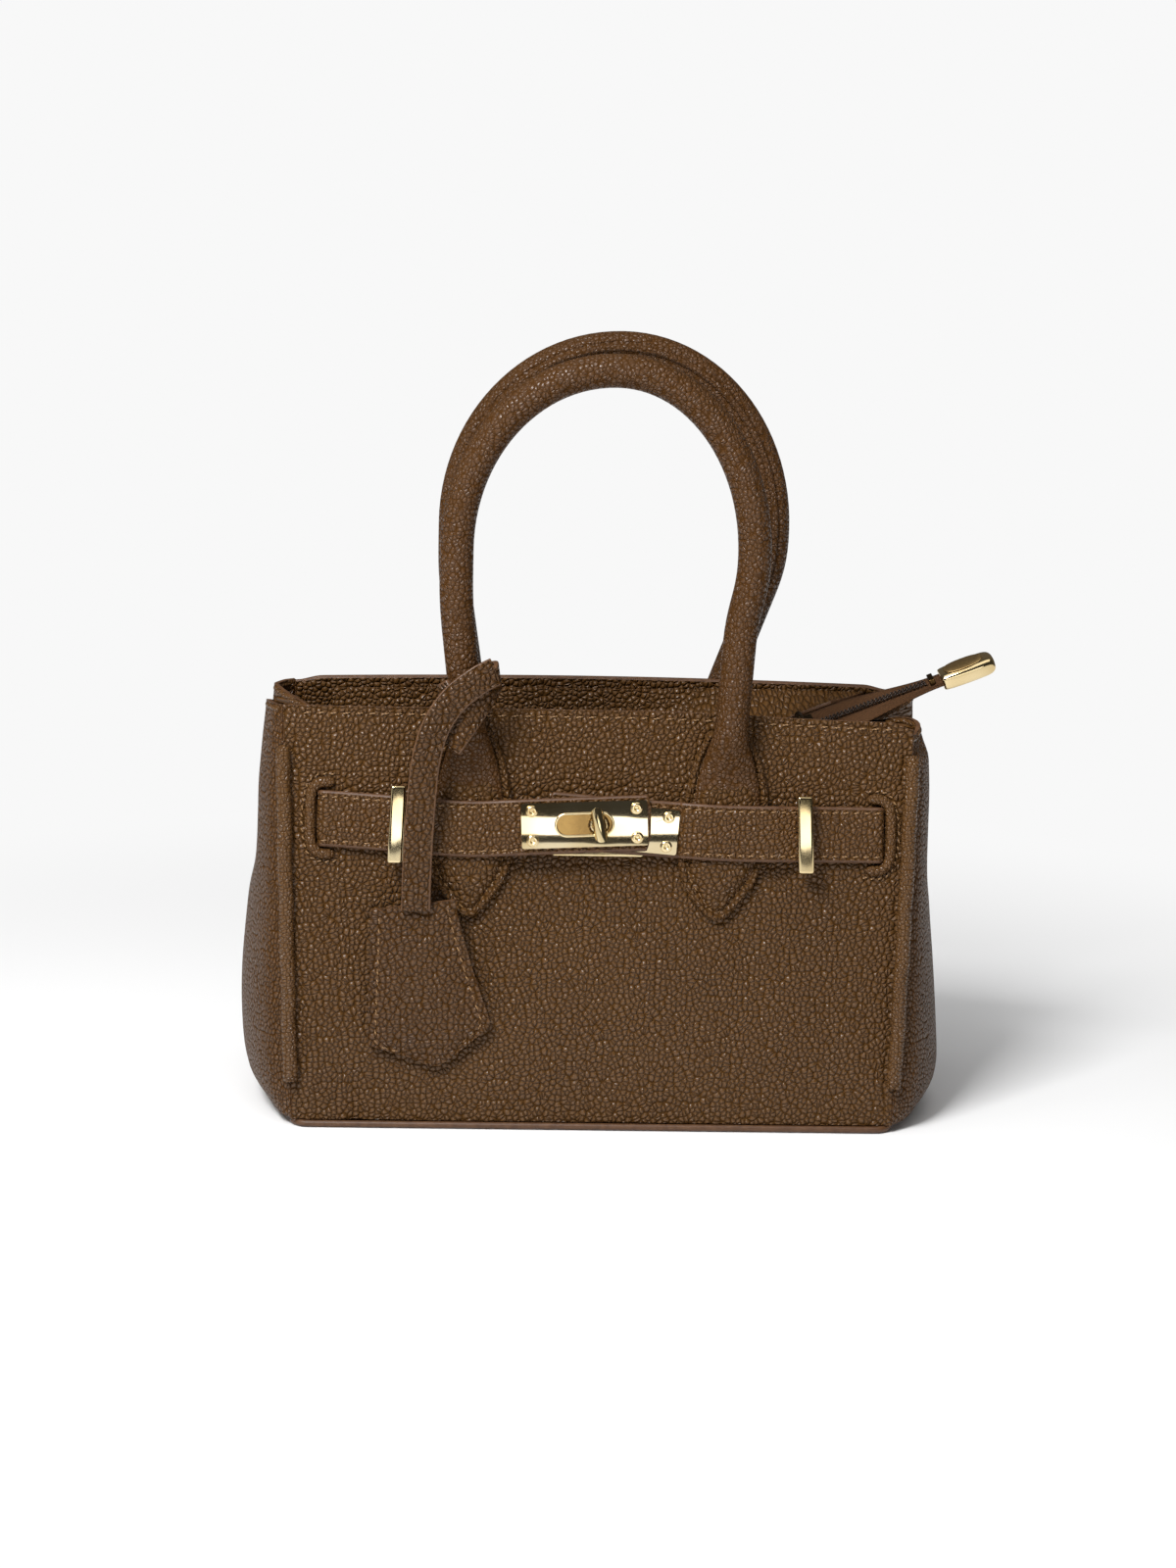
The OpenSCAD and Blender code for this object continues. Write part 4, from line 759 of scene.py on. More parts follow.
@dataclass
class Bench:
    """Turns meshes into named pieces of the scene."""

    finishes: Finishes
    thread_lift: float = 0.08
    thread_half: tuple[float, float] = (0.36, 0.34)

    def piece(
        self,
        bm: bmesh.types.BMesh,
        name: str,
        body: str | None,
        materials: Sequence[bpy.types.Material],
        slot: Slot,
        replaces: Sequence[str] = (),
        bevel: float = 0.0,
        subdivide: int = 0,
    ) -> bpy.types.Object:
        """Finishes one piece.

        Args:
            bm: Its mesh in metres; it is freed here.
            name: Name of the piece.
            body: The CAD body it rides on, or None to leave it unattached.
            materials: Its finish, and that of its rim.
            slot: The record's material slot; not used.
            replaces: CAD nodes that it stands for.
            bevel: Width in millimetres of rounding on its sharp edges.
            subdivide: Levels of subdivision.

        Returns:
            The new object.
        """
        for f in bm.faces:
            f.smooth = True
        mesh = as_mesh(name, bm)
        for material in materials:
            mesh.materials.append(material)
        obj = show(name, mesh)
        if bevel:
            round_edges(obj, "rounded_edges", bevel, 50)
        if subdivide:
            soft = obj.modifiers.new("soft", "SUBSURF")
            soft.levels = soft.render_levels = subdivide
        if body:
            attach(obj, body)
        if replaces:
            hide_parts(*replaces)
        log.info("%s: %d faces, on %s", name, len(mesh.polygons), body or "two bodies")
        return obj

    def sew(
        self,
        name: str,
        body: str,
        line: Sequence[tuple[Vector, Vector]],
        pitch: float,
        length: float,
        slant: float = 9.0,
    ) -> None:
        """Lays a row of stitches.

        Args:
            name: Name of the row.
            body: The CAD body it rides on.
            line: Points on the leather and the direction out of it, in millimetres.
            pitch: Distance from stitch to stitch.
            length: Length of a stitch.
            slant: Turn of each stitch against the row, in degrees.
        """
        bm = bmesh.new()
        run, target = 0.0, pitch / 2
        for (a, na), (b, nb) in zip(line, line[1:]):
            step = (b - a).length
            while step > 0 and target <= run + step:
                t = (target - run) / step
                out = na.lerp(nb, t).normalized()
                along = Matrix.Rotation(math.radians(slant), 3, out) @ (b - a).normalized()
                at = a.lerp(b, t) + out * self.thread_lift
                matrix = pin_matrix(at, along, out, Vector((length / 2, *self.thread_half)))
                bmesh.ops.create_uvsphere(bm, u_segments=6, v_segments=5, radius=1, matrix=matrix)
                target += pitch
            run += step
        self.piece(bm, name, body, [self.finishes.thread], Slot.BODY)


# The bag's body


@dataclass(frozen=True)
class BagShape:
    """Sizes of the body in millimetres, and the bowed faces that every other piece lies on."""

    top_w: float = 225.0
    base_w: float = 215.0
    height: float = 150.0
    base_d: float = 100.0
    mouth_d: float = 66.0
    bow: float = 3.0
    panel_t: float = 2.0
    facing_t: float = 1.2
    seam: float = 0.2
    bulge: float = 22.0
    fold_depth: float = 18.0
    fold_drop: float = 7.0
    gusset_t: float = 1.6
    belt_z: float = 110.2
    left_slot_x: float = 98.4
    right_slot_x: float = 100.8

    def slot_x(self, hand: Hand) -> float:
        """Distance of a belt slot from the middle."""
        return self.left_slot_x if hand is Hand.LEFT else self.right_slot_x

    @cached_property
    def bow_arc(self) -> tuple[float, float, float]:
        """Radius of the panel's bow, and the depth and height of its centre."""
        run = (self.base_d - self.mouth_d) / 2
        chord = math.hypot(run, self.height)
        radius = chord * chord / (8 * self.bow) + self.bow / 2
        lean = math.atan2(run, self.height)
        y = -(self.base_d + self.mouth_d) / 4 + (radius - self.bow) * math.cos(lean)
        z = self.height / 2 - (radius - self.bow) * math.sin(lean)
        return radius, y, z

    def face_y(self, z: float, out: float = 0.0) -> float:
        """Depth of the front face at height z, a distance in front of it."""
        radius, y, z0 = self.bow_arc
        return y - math.sqrt((radius + out) ** 2 - (z - z0) ** 2)

    def lean(self, z: float) -> float:
        """Backward lean of the front face at height z, in radians."""
        radius, _, z0 = self.bow_arc
        return math.asin((z - z0) / radius)

    def seam_x(self, z: float) -> float:
        """Half the width at the front seams at height z."""
        return (self.base_w + (self.top_w - self.base_w) * z / self.height) / 2

    def out(self, z: float) -> Vector:
        """Direction out of the front face at height z."""
        a = self.lean(z)
        return Vector((0, -math.cos(a), math.sin(a)))

    def on_face(self, x: float, z: float, out: float = 0.0) -> Vector:
        """Returns the point at x and height z, a distance out of the front face."""
        return Vector((x, self.face_y(z), z)) + self.out(z) * out

    def belt_point(self, x: float, out: float, up: float) -> Vector:
        """Returns a point of the belt's flat frame: along it, out of the face and up it."""
        a = self.lean(self.belt_z)
        rise = Vector((0, math.sin(a), math.cos(a)))
        return Vector((x, self.face_y(self.belt_z), self.belt_z)) + self.out(self.belt_z) * out + rise * up

    def top_drop(self, x: float, face: Face) -> float:
        """Sag of a top edge at x: the front one droops to the right, the rear one stands."""
        if face is Face.FRONT:
            return 2.6 * ease((x - 10) / 100) + 2.4 * ease((x - 104) / 8.5)
        return -1.2 - 1.8 * max(0.0, 1 - (x / 112) ** 2) + 1.6 * ease((abs(x) - 102) / 10)

    def bulge_share(self, hand: Hand, share: float) -> float:
        """Bulge of a gusset at a share of the height."""
        left = (
            (0, 0.25), (0.055, 0.76), (0.1, 0.87), (0.16, 0.92), (0.25, 0.93), (0.33, 0.89),
            (0.45, 0.79), (0.6, 0.67), (0.8, 0.6), (0.93, 0.46), (1, 0.37),
        )
        right = (
            (0, 0.4), (0.055, 0.88), (0.1, 1), (0.16, 0.97), (0.25, 0.9), (0.35, 0.8),
            (0.47, 0.68), (0.6, 0.585), (0.8, 0.53), (0.93, 0.44), (1, 0.38),
        )
        points = left if hand is Hand.LEFT else right
        return sum(table(points, share + d) for d in (-0.03, -0.015, 0, 0.015, 0.03)) / 5

    def fold(self, z: float, u: float) -> float:
        """How far a gusset folds inwards at height z and a share u from front to rear."""
        spread = max(0.0, 1 - abs(u - 0.5) / 0.3)
        return ease((z / self.height - 0.5) / 0.5) * (ease(spread) * 0.7 + spread * 0.3)

    def side_x(self, hand: Hand, z: float, u: float) -> float:
        """Distance of a gusset's outer face from the middle."""
        belly = self.bulge * self.bulge_share(hand, z / self.height)
        belly *= math.sqrt(max(0.0, math.sin(math.pi * u)))
        belly *= 1 - 0.6 * bell(min(u, 1 - u), 0.024)
        return self.seam_x(z) + self.seam + belly - self.fold_depth * self.fold(z, u)

    def side_point(self, hand: Hand, z: float, u: float, inward: float = 0.0) -> Vector:
        """Returns a point of a gusset's outer face, moved inwards by a distance."""
        y = (2 * u - 1) * -self.face_y(z, -self.seam)
        drop = self.fold_drop * self.fold(z, u) * z / self.height
        if hand is Hand.RIGHT:
            drop += 8.0 * ease((z - 120) / 30) * ease((0.4 - u) / 0.3)
            inward += 3.4 * ease((z - 136) / 14) * ease((0.4 - u) / 0.3)
        return Vector((hand.value * (self.side_x(hand, z, u) - inward), y, z - drop))


@dataclass
class Shell:
    """Front and rear panels, gussets, base and pipings."""

    shape: BagShape
    bench: Bench
    slot_w: float = 3.4
    slot_h: float = 21.2
    stitch_inset: float = 2.6
    piping_w: float = 5.2

    def relief(self, x: float, z: float, top: float, face: Face) -> float:
        """Gives how far the leather lies behind its plain bow.

        Args:
            x: Distance from the middle.
            z: Height.
            top: Height of the top edge there.
            face: Front or rear panel.

        Returns:
            A distance out of the face, zero or less.
        """
        calm = ease((z - 100) / 12) * ease((130 - z) / 12)
        wave = -0.55 * (0.5 + 0.5 * math.sin(x / 24 + 1.2) * math.cos(z / 19 + 0.4)) * (1 - calm)
        groove = -0.3 * bell(top - z - self.stitch_inset, 0.9)
        if z < 138:
            groove -= 0.5 * bell(self.shape.seam_x(z) - abs(x) - 3.3, 0.9)
        crease = 0.0
        if face is Face.FRONT:
            low = ease((26 - z) / 26)
            crease = -1.3 * bell(x + 85 - z * 0.12, 2.6) * low - 0.7 * bell(x + 72, 9) * ease((14 - z) / 14)
        return wave * 0.6 + groove + crease

    def panel(self, face: Face) -> None:
        """Builds one panel with its belt slots, folded top edge and stitch groove."""
        shape = self.shape
        sides = {}
        for hand in Hand:
            slot = shape.slot_x(hand)
            sides[hand] = [s * 2.2 for s in range(1, 44)] + [slot + d for d in (-1.7, 0, 1.7, 3.0)]
        xs = [-x for x in reversed(sides[Hand.LEFT])] + [0.0] + sides[Hand.RIGHT]
        outer = [0.15, 0.3, 0.42, 0.54, 0.66, 0.8, 1.0]
        upright = math.cos(shape.lean(shape.belt_z))
        ends = sorted(
            shape.belt_z + (SLOT_RISE[hand] + s * self.slot_h / 2) * upright for hand in Hand for s in (-1, 1)
        )
        z_rows = sorted({2.8 + 2.3 * k for k in range(61)} | set(ends) | {143.2 + 0.57 * k for k in range(13)})
        z_rows = [z for k, z in enumerate(z_rows) if k == 0 or z - z_rows[k - 1] > 0.2]
        columns, rows = len(xs) + 2 * len(outer) - 1, len(z_rows) - 1

        def place(i: int, j: int) -> Vector:
            """Returns the place of a vertex of the panel."""
            z = z_rows[j]
            k = i - len(outer)
            if k < 0:
                x = mix(xs[0], -shape.seam_x(z), outer[-k - 1])
            elif k >= len(xs):
                x = mix(xs[-1], shape.seam_x(z), outer[k - len(xs)])
            else:
                x = xs[k]
            top = shape.height - shape.top_drop(x, face)
            z = z if z < 120 else mix(120, top, (z - 120) / (shape.height - 120))
            return shape.on_face(x, z, self.relief(x, z, top, face))

        def hole(p: Vector) -> bool:
            """Says whether a face lies in a belt slot."""
            hand = Hand.LEFT if p.x < 0 else Hand.RIGHT
            if face is Face.REAR or abs(abs(p.x) - shape.slot_x(hand)) > self.slot_w / 2:
                return False
            return abs(p.z - shape.belt_z - SLOT_RISE[hand] * upright) < self.slot_h / 2 * upright

        bm = leaf(columns, rows, place, shape.panel_t, hole=hole)
        name = face.word
        self.mirror(bm, face)
        fin = self.bench.finishes
        cut = [fin.leather, fin.edge]
        self.bench.piece(bm, f"{name}_panel_leather", "bag", cut, Slot.BODY, [f"{name}_panel"], bevel=0.7)
        line = []
        for k in range(-106, 107, 2):
            z = shape.height - shape.top_drop(k, face) - self.stitch_inset
            p, out = shape.on_face(k, z, -0.2), shape.out(z)
            line.append((self.turned(p, face), self.turned(out, face)))
        self.bench.sew(f"{name}_edge_stitches", "bag", line, pitch=4.6, length=3.2)

    @staticmethod
    def turned(p: Vector, face: Face) -> Vector:
        """Returns a front point, or its mirror image at the rear."""
        return Vector((p.x, p.y * face.value, p.z))

    @staticmethod
    def mirror(bm: bmesh.types.BMesh, face: Face) -> None:
        """Mirrors a front piece to the rear in place, and turns its faces outwards again."""
        if face is Face.REAR:
            bmesh.ops.scale(bm, vec=(1, -1, 1), verts=bm.verts)
            bmesh.ops.reverse_faces(bm, faces=bm.faces)

    def gusset(self, hand: Hand) -> None:
        """Builds a side gusset with its bulged foot and its fold."""
        shape = self.shape
        columns, rows, foot = 44, 60, 6
        us = [(1 - math.cos(math.pi * i / columns)) / 2 for i in range(columns + 1)]

        def place(i: int, j: int) -> Vector:
            """Returns the place of a vertex of the gusset."""
            u = us[i] if hand is Hand.RIGHT else 1 - us[i]
            if j < foot:
                a = math.pi / 2 * j / foot
                p = shape.side_point(hand, 5.0, u)
                edge = hand.value * (shape.base_w / 2 - 1.2)
                return Vector((mix(edge, p.x, math.sin(a)), p.y, mix(5.0, 2.0, math.cos(a))))
            z = mix(5.0, shape.height, ((j - foot) / (rows - foot)) ** 1.1)
            wave = 0.3 * math.sin(z / 13) * math.sin(math.pi * u) ** 2
            return shape.side_point(hand, z, u, wave * ease((z - 20) / 30))

        bm = leaf(columns, rows, place, shape.gusset_t)
        fin = self.bench.finishes
        name = f"{hand.word}_gusset"
        self.bench.piece(bm, f"{name}_leather", "bag", [fin.gusset, fin.edge], Slot.BODY, [name], bevel=0.5)

    def base(self) -> None:
        """Builds the leather base and the piping round it."""
        shape = self.shape
        fin = self.bench.finishes
        bm = bmesh.new()
        bmesh.ops.create_grid(bm, x_segments=1, y_segments=1, size=0.5)
        size = Vector((shape.base_w - 2.8, shape.base_d - 2.8, 1.0)) * MM
        bmesh.ops.scale(bm, vec=size, verts=bm.verts)
        bmesh.ops.bevel(bm, geom=bm.verts[:], offset=6 * MM, segments=8, profile=0.5, affect="VERTICES", material=-1)
        bmesh.ops.translate(bm, vec=(0, 0, 2 * MM), verts=bm.verts)
        bmesh.ops.solidify(bm, geom=bm.faces[:], thickness=2 * MM)
        self.bench.piece(bm, "base_leather", "bag", [fin.handle], Slot.BODY, ["base_panel"], bevel=0.4)
        r, cord, half_x, half_y = 6.0, 1.2, shape.base_w / 2, shape.base_d / 2
        path = []
        for sx, sy, start in QUARTERS:
            for degrees in range(start, start + 91, 9):
                b = math.radians(degrees)
                corner = Vector((sx * (half_x - r), sy * (half_y - r), 1.4))
                path.append(corner + Vector((r * math.cos(b), r * math.sin(b), 0)))
        rings = []
        n = len(path)
        for i, p in enumerate(path):
            t = (path[(i + 1) % n] - path[i - 1]).normalized()
            rings.append(circle(p, t.cross(UP) * cord, UP * cord, 14))
        self.bench.piece(tube(rings, ring=True), "base_piping_leather", "bag", [fin.edge], Slot.EDGE, ["base_piping"])

    def corner_piping(self, face: Face, hand: Hand) -> None:
        """Builds the raised strip over one corner seam, its top end round and its foot cut square."""
        shape = self.shape
        r, z0, z1, steps = self.piping_w / 2, 17.0, 136.0, 60
        rings = []
        for k in range(steps + 9):
            if k <= steps:
                z, size = mix(z0, z1 - r, k / steps), 1.0
            else:
                a = math.radians((k - steps) * 10.5)
                z, size = z1 - r + r * math.sin(a), math.cos(a)
            if k == 0:
                size = 0.86
            elif k == 1:
                z = z0 + 0.4
            wave = 0.16 * math.sin(z / 4.7) + 0.1 * math.sin(z / 1.9)
            base = shape.on_face(hand.value * (shape.seam_x(z) + wave), z, 1.1)
            out = shape.out(z)
            ring = []
            for i in range(22):
                a = math.tau * i / 22
                depth = math.sin(a) if math.sin(a) > 0 else math.sin(a) * 0.5
                ring.append(base + Vector((math.cos(a) * r * size, 0, 0)) + out * (depth * r * size + 0.05))
            rings.append([Shell.turned(p, face) for p in ring])
        name = f"{face.word}_{hand.word}_piping"
        fin = self.bench.finishes
        self.bench.piece(tube(rings), f"{name}_leather", "bag", [fin.piping], Slot.EDGE, [name])

    def gusset_rim(self, hand: Hand) -> None:
        """Builds the rolled edge along a gusset's folded top."""
        z, steps = self.shape.height - 1.8, 60
        path = [self.shape.side_point(hand, z, mix(0.02, 0.98, k / steps), 0.8) for k in range(steps + 1)]
        rings = []
        for i, p in enumerate(path):
            t = tangent(path, i)
            side = t.cross(UP).normalized()
            r = 1.1 * (0.7 if i in (0, steps) else 1.0)
            rings.append(circle(p, side * r * 1.1, side.cross(t) * r, 14))
        fin = self.bench.finishes
        self.bench.piece(tube(rings), f"{hand.word}_gusset_rim_leather", "bag", [fin.piping], Slot.EDGE)

    def build(self) -> None:
        """Builds the whole shell."""
        for face in Face:
            self.panel(face)
            for hand in Hand:
                self.corner_piping(face, hand)
        for hand in Hand:
            self.gusset(hand)
            self.gusset_rim(hand)
        self.base()


@dataclass
class Mouth:
    """Lining, pocket, facings, zip flaps, tapes and the open zip."""

    shape: BagShape
    bench: Bench
    root_z: float = 145.5
    flap_w: float = 21.0
    flap_t: float = 1.4
    fork_x: float = 66.0
    fork_z: float = 134.0
    left_x: float = -98.0
    tape_end_x: float = 63.2
    tape_w: float = 10.2
    hang: float = math.radians(80)
    tape_half: float = 11.3
    coil_pitch: float = 1.6
    coil_d: float = 2.2
    rise: float = math.radians(21.8)
    twist: float = math.radians(17)

    @cached_property
    def root_y(self) -> float:
        """Depth of a flap's root behind the facing."""
        return self.shape.face_y(self.root_z, -self.shape.panel_t - self.shape.facing_t - 0.4)

    @cached_property
    def fork(self) -> float:
        """Angle of the flaps where the chain begins."""
        return math.acos((-self.root_y - self.tape_half - 0.3) / self.flap_w)

    def turn(self, x: float) -> float:
        """Share of the way from hanging to closed at x."""
        return ease((x - 5) / (self.fork_x - 4 - 5))

    def tail_z(self, x: float) -> float:
        """Height of the tail's middle line at x."""
        return self.fork_z + (x - self.fork_x) * math.tan(self.rise)

    def flap_edge(self, x: float, side: int) -> Vector:
        """Inner edge of a flap at x; side is -1 at the front and 1 at the rear, and y is a front one's."""
        if x > self.fork_x:
            z = self.tail_z(x) + self.tape_half * side * math.sin(self.twist)
            return Vector((x, -self.tape_half - 0.3, z))
        a = mix(self.hang, self.fork, self.turn(x))
        lift = side * self.tape_half * math.sin(self.twist) * self.turn(x)
        return Vector((x, self.root_y + self.flap_w * math.cos(a), self.root_z - self.flap_w * math.sin(a) + lift))

    def tape_edge(self, x: float, side: int) -> Vector:
        """Inner edge of a tape at x."""
        p = self.flap_edge(x, side)
        hung = p + Vector((0, math.cos(self.hang), -math.sin(self.hang))) * self.tape_w
        z = self.tail_z(self.tape_end_x) + side * self.coil_pitch * math.sin(self.twist)
        joined = Vector((x, -self.coil_pitch - self.coil_d / 2 - 0.2, z))
        return hung.lerp(joined, self.turn(x))

    def strip(
        self,
        node: str,
        kind: str,
        face: Face,
        edges: tuple[Edge, Edge],
        faces: tuple[int, int],
        size: tuple[float, float],
        sag: float,
        materials: Sequence[bpy.types.Material],
        slot: Slot,
    ) -> None:
        """Builds a flap or tape between two edges.

        Args:
            node: The CAD node it stands for.
            kind: Word that its own name ends in.
            face: Front or rear.
            edges: Its outer and inner edge at a share of the length.
            faces: Faces along it and across it.
            size: Its length, for the weave, and its thickness.
            sag: Outward sag of its middle.
            materials: Its finishes.
            slot: Its material slot.
        """
        start, end = edges
        stations, columns = faces
        length, thickness = size

        def place(i: int, j: int) -> Vector:
            """Returns the place of a vertex of the strip."""
            s, t = i / stations, j / columns
            a, b = start(s), end(s)
            out = (b - a).cross(Vector((1, 0, 0))).normalized()
            p = a.lerp(b, t) + out * (sag * math.sin(math.pi * t) - thickness / 2)
            return Shell.turned(p, face)

        width = (end(0) - start(0)).length
        bm = leaf(stations, columns, place, thickness, (length, width))
        bmesh.ops.recalc_face_normals(bm, faces=bm.faces)
        self.bench.piece(bm, f"{node}_{kind}", "bag", materials, slot, [node], bevel=0.3)

    def side(self, face: Face) -> None:
        """Builds the facing, flap, tape and coil of one side."""
        shape, fin = self.shape, self.bench.finishes
        name = face.word
        sign = -face.value
        cut = [fin.leather, fin.edge]
        half = shape.top_w / 2 - shape.gusset_t - shape.panel_t

        def facing(i: int, j: int) -> Vector:
            """Returns the place of a vertex of the facing."""
            x = mix(-half, half, i / 70)
            top = shape.height - shape.top_drop(x, face)
            z = mix(top - 22, top, (j / 24) ** 0.8)
            return shape.on_face(x, z, -shape.panel_t - shape.seam - 0.12 * bell(top - z - 2.6, 0.9))

        bm = leaf(70, 24, facing, shape.facing_t)
        Shell.mirror(bm, face)
        self.bench.piece(bm, f"{name}_facing_leather", "bag", cut, Slot.BODY, [f"{name}_facing"], bevel=0.5)

        def root(s: float) -> Vector:
            """Root of the flap."""
            x = mix(self.left_x, 102, s)
            return Vector((x, self.root_y + self.flap_t / 2, self.root_z - shape.top_drop(x, face)))

        def rim(s: float) -> Vector:
            """Inner edge of the flap."""
            return self.flap_edge(mix(self.left_x, 88, s), sign)

        flap = (200.0, self.flap_t)
        self.strip(f"{name}_zip_flap", "leather", face, (root, rim), (70, 12), flap, 0.3, cut, Slot.BODY)

        def tape_start(s: float) -> Vector:
            """Outer edge of the tape, under the flap's rim."""
            x = mix(self.left_x, self.tape_end_x, s)
            a, b = self.flap_edge(x, sign), self.tape_edge(x, sign)
            return a + (b - a).normalized() * 0.6

        def tape_end(s: float) -> Vector:
            """Inner edge of the tape."""
            return self.tape_edge(mix(self.left_x, self.tape_end_x, s), sign)

        edges, tape = (tape_start, tape_end), (161.0, 0.8)
        self.strip(f"{name}_zip_tape", "weave", face, edges, (60, 6), tape, 0.0, [fin.tape], Slot.TAPE)
        middle = []
        for k in range(70):
            s = k / 69
            a, b = self.flap_edge(mix(self.left_x, self.tape_end_x, s), sign), tape_end(s)
            middle.append(Shell.turned(b + (b - a).normalized() * (self.coil_d / 2 + 0.2), face))
        teeth = self.coil(middle)
        self.bench.piece(teeth, f"{name}_zip_coil_teeth", "bag", [fin.coil], Slot.COIL, [f"{name}_zip_coil"])

    def coil(self, middle: Sequence[Vector], pitch: float = 1.35, width: float = 2.2) -> bmesh.types.BMesh:
        """Winds a nylon monofilament round a line.

        Args:
            middle: The line in millimetres.
            pitch: Distance from tooth to tooth.
            width: Width of the winding.

        Returns:
            The mesh of the winding.
        """
        lengths = [0.0]
        for a, b in zip(middle, middle[1:]):
            lengths.append(lengths[-1] + (b - a).length)
        wire, radius = 0.34, width / 2 - 0.34
        turns = int(lengths[-1] / pitch)
        path = []
        k = 0
        for i in range(turns * 10 + 1):
            run = i / 10 * pitch
            while k < len(lengths) - 2 and lengths[k + 1] < run:
                k += 1
            t = (run - lengths[k]) / (lengths[k + 1] - lengths[k])
            p = middle[k].lerp(middle[k + 1], t)
            along = (middle[k + 1] - middle[k]).normalized()
            side = along.cross(UP).normalized()
            up = side.cross(along)
            a = math.tau * i / 10
            path.append(p + (side * math.cos(a) + up * math.sin(a)) * radius)
        rings = []
        for i, p in enumerate(path):
            t = tangent(path, i)
            a = t.cross(Vector((0.3, 0.2, 1))).normalized()
            b = t.cross(a)
            rings.append(circle(p, a * wire, b * wire, 5))
        return tube(rings)

    def lining(self) -> None:
        """Builds the thin inner bag and its slip pocket."""
        shape, fin = self.shape, self.bench.finishes
        inset = shape.panel_t + shape.facing_t + 0.6
        count, rows = 22, 30

        def half_ring(hand: Hand, z: float) -> list[Vector]:
            """Points of one side's half of the ring at height z, from front to rear."""
            y0 = shape.face_y(z, -inset)
            points = []
            for i in range(count + 1):
                y = y0 * math.cos(math.pi * i / count)
                u = (1 - y / shape.face_y(z, -shape.seam)) / 2
                deeper = shape.fold_depth * (shape.fold(min(z + shape.fold_drop, 150), u) - shape.fold(z, u))
                x = shape.side_x(hand, z, u) - max(deeper, 0) - 2 * shape.gusset_t - 0.6
                points.append(Vector((hand.value * x, y, z)))
            return points

        rings = []
        for j in range(rows + 1):
            z = mix(4.4, 132, (j / rows) ** 1.1)
            right, left = half_ring(Hand.RIGHT, z), half_ring(Hand.LEFT, z)
            rings.append(right + list(reversed(left)))
        n = len(rings[0])
        bm = grid(n, rows, lambda i, j: rings[j][i % n])
        bmesh.ops.remove_doubles(bm, verts=bm.verts, dist=1e-7)
        low = [e for e in bm.edges if e.is_boundary and e.verts[0].co.z < 0.01]
        bmesh.ops.holes_fill(bm, edges=low, sides=0)
        bmesh.ops.recalc_face_normals(bm, faces=bm.faces)
        bmesh.ops.solidify(bm, geom=bm.faces[:], thickness=0.8 * MM)
        self.bench.piece(bm, "lining_bag", "bag", [fin.lining], Slot.LINING, ["lining"])

        def pocket(i: int, j: int) -> Vector:
            """Returns the place of a vertex of the pocket."""
            x, z = mix(-65, 65, i / 24), mix(38, 104, j / 14)
            sag = 0.8 * math.sin(math.pi * i / 24) * ease((j / 14 - 0.4) / 0.6)
            return shape.on_face(x, z, -inset - 1.0 - sag)

        bm = leaf(24, 14, pocket, 0.8)
        Shell.mirror(bm, Face.REAR)
        hem = [fin.lining, fin.edge]
        self.bench.piece(bm, "inner_pocket_leather", "bag", hem, Slot.LINING, ["inner_pocket"], bevel=0.3)
        corners = [(-63, 103), (-63, 40), (63, 40), (63, 103)]
        path = []
        for (xa, za), (xb, zb) in zip(corners, corners[1:]):
            for k in range(20):
                x, z = mix(xa, xb, k / 20), mix(za, zb, k / 20)
                row = (shape.on_face(x, z, -inset - 1.9), -shape.out(z))
                path.append(tuple(Shell.turned(v, Face.REAR) for v in row))
        self.bench.sew("pocket_stitches", "bag", path, pitch=3.4, length=2.4)

    def build(self) -> None:
        """Builds the mouth and the inside."""
        for face in Face:
            self.side(face)
        self.lining()


# Handles and their tabs


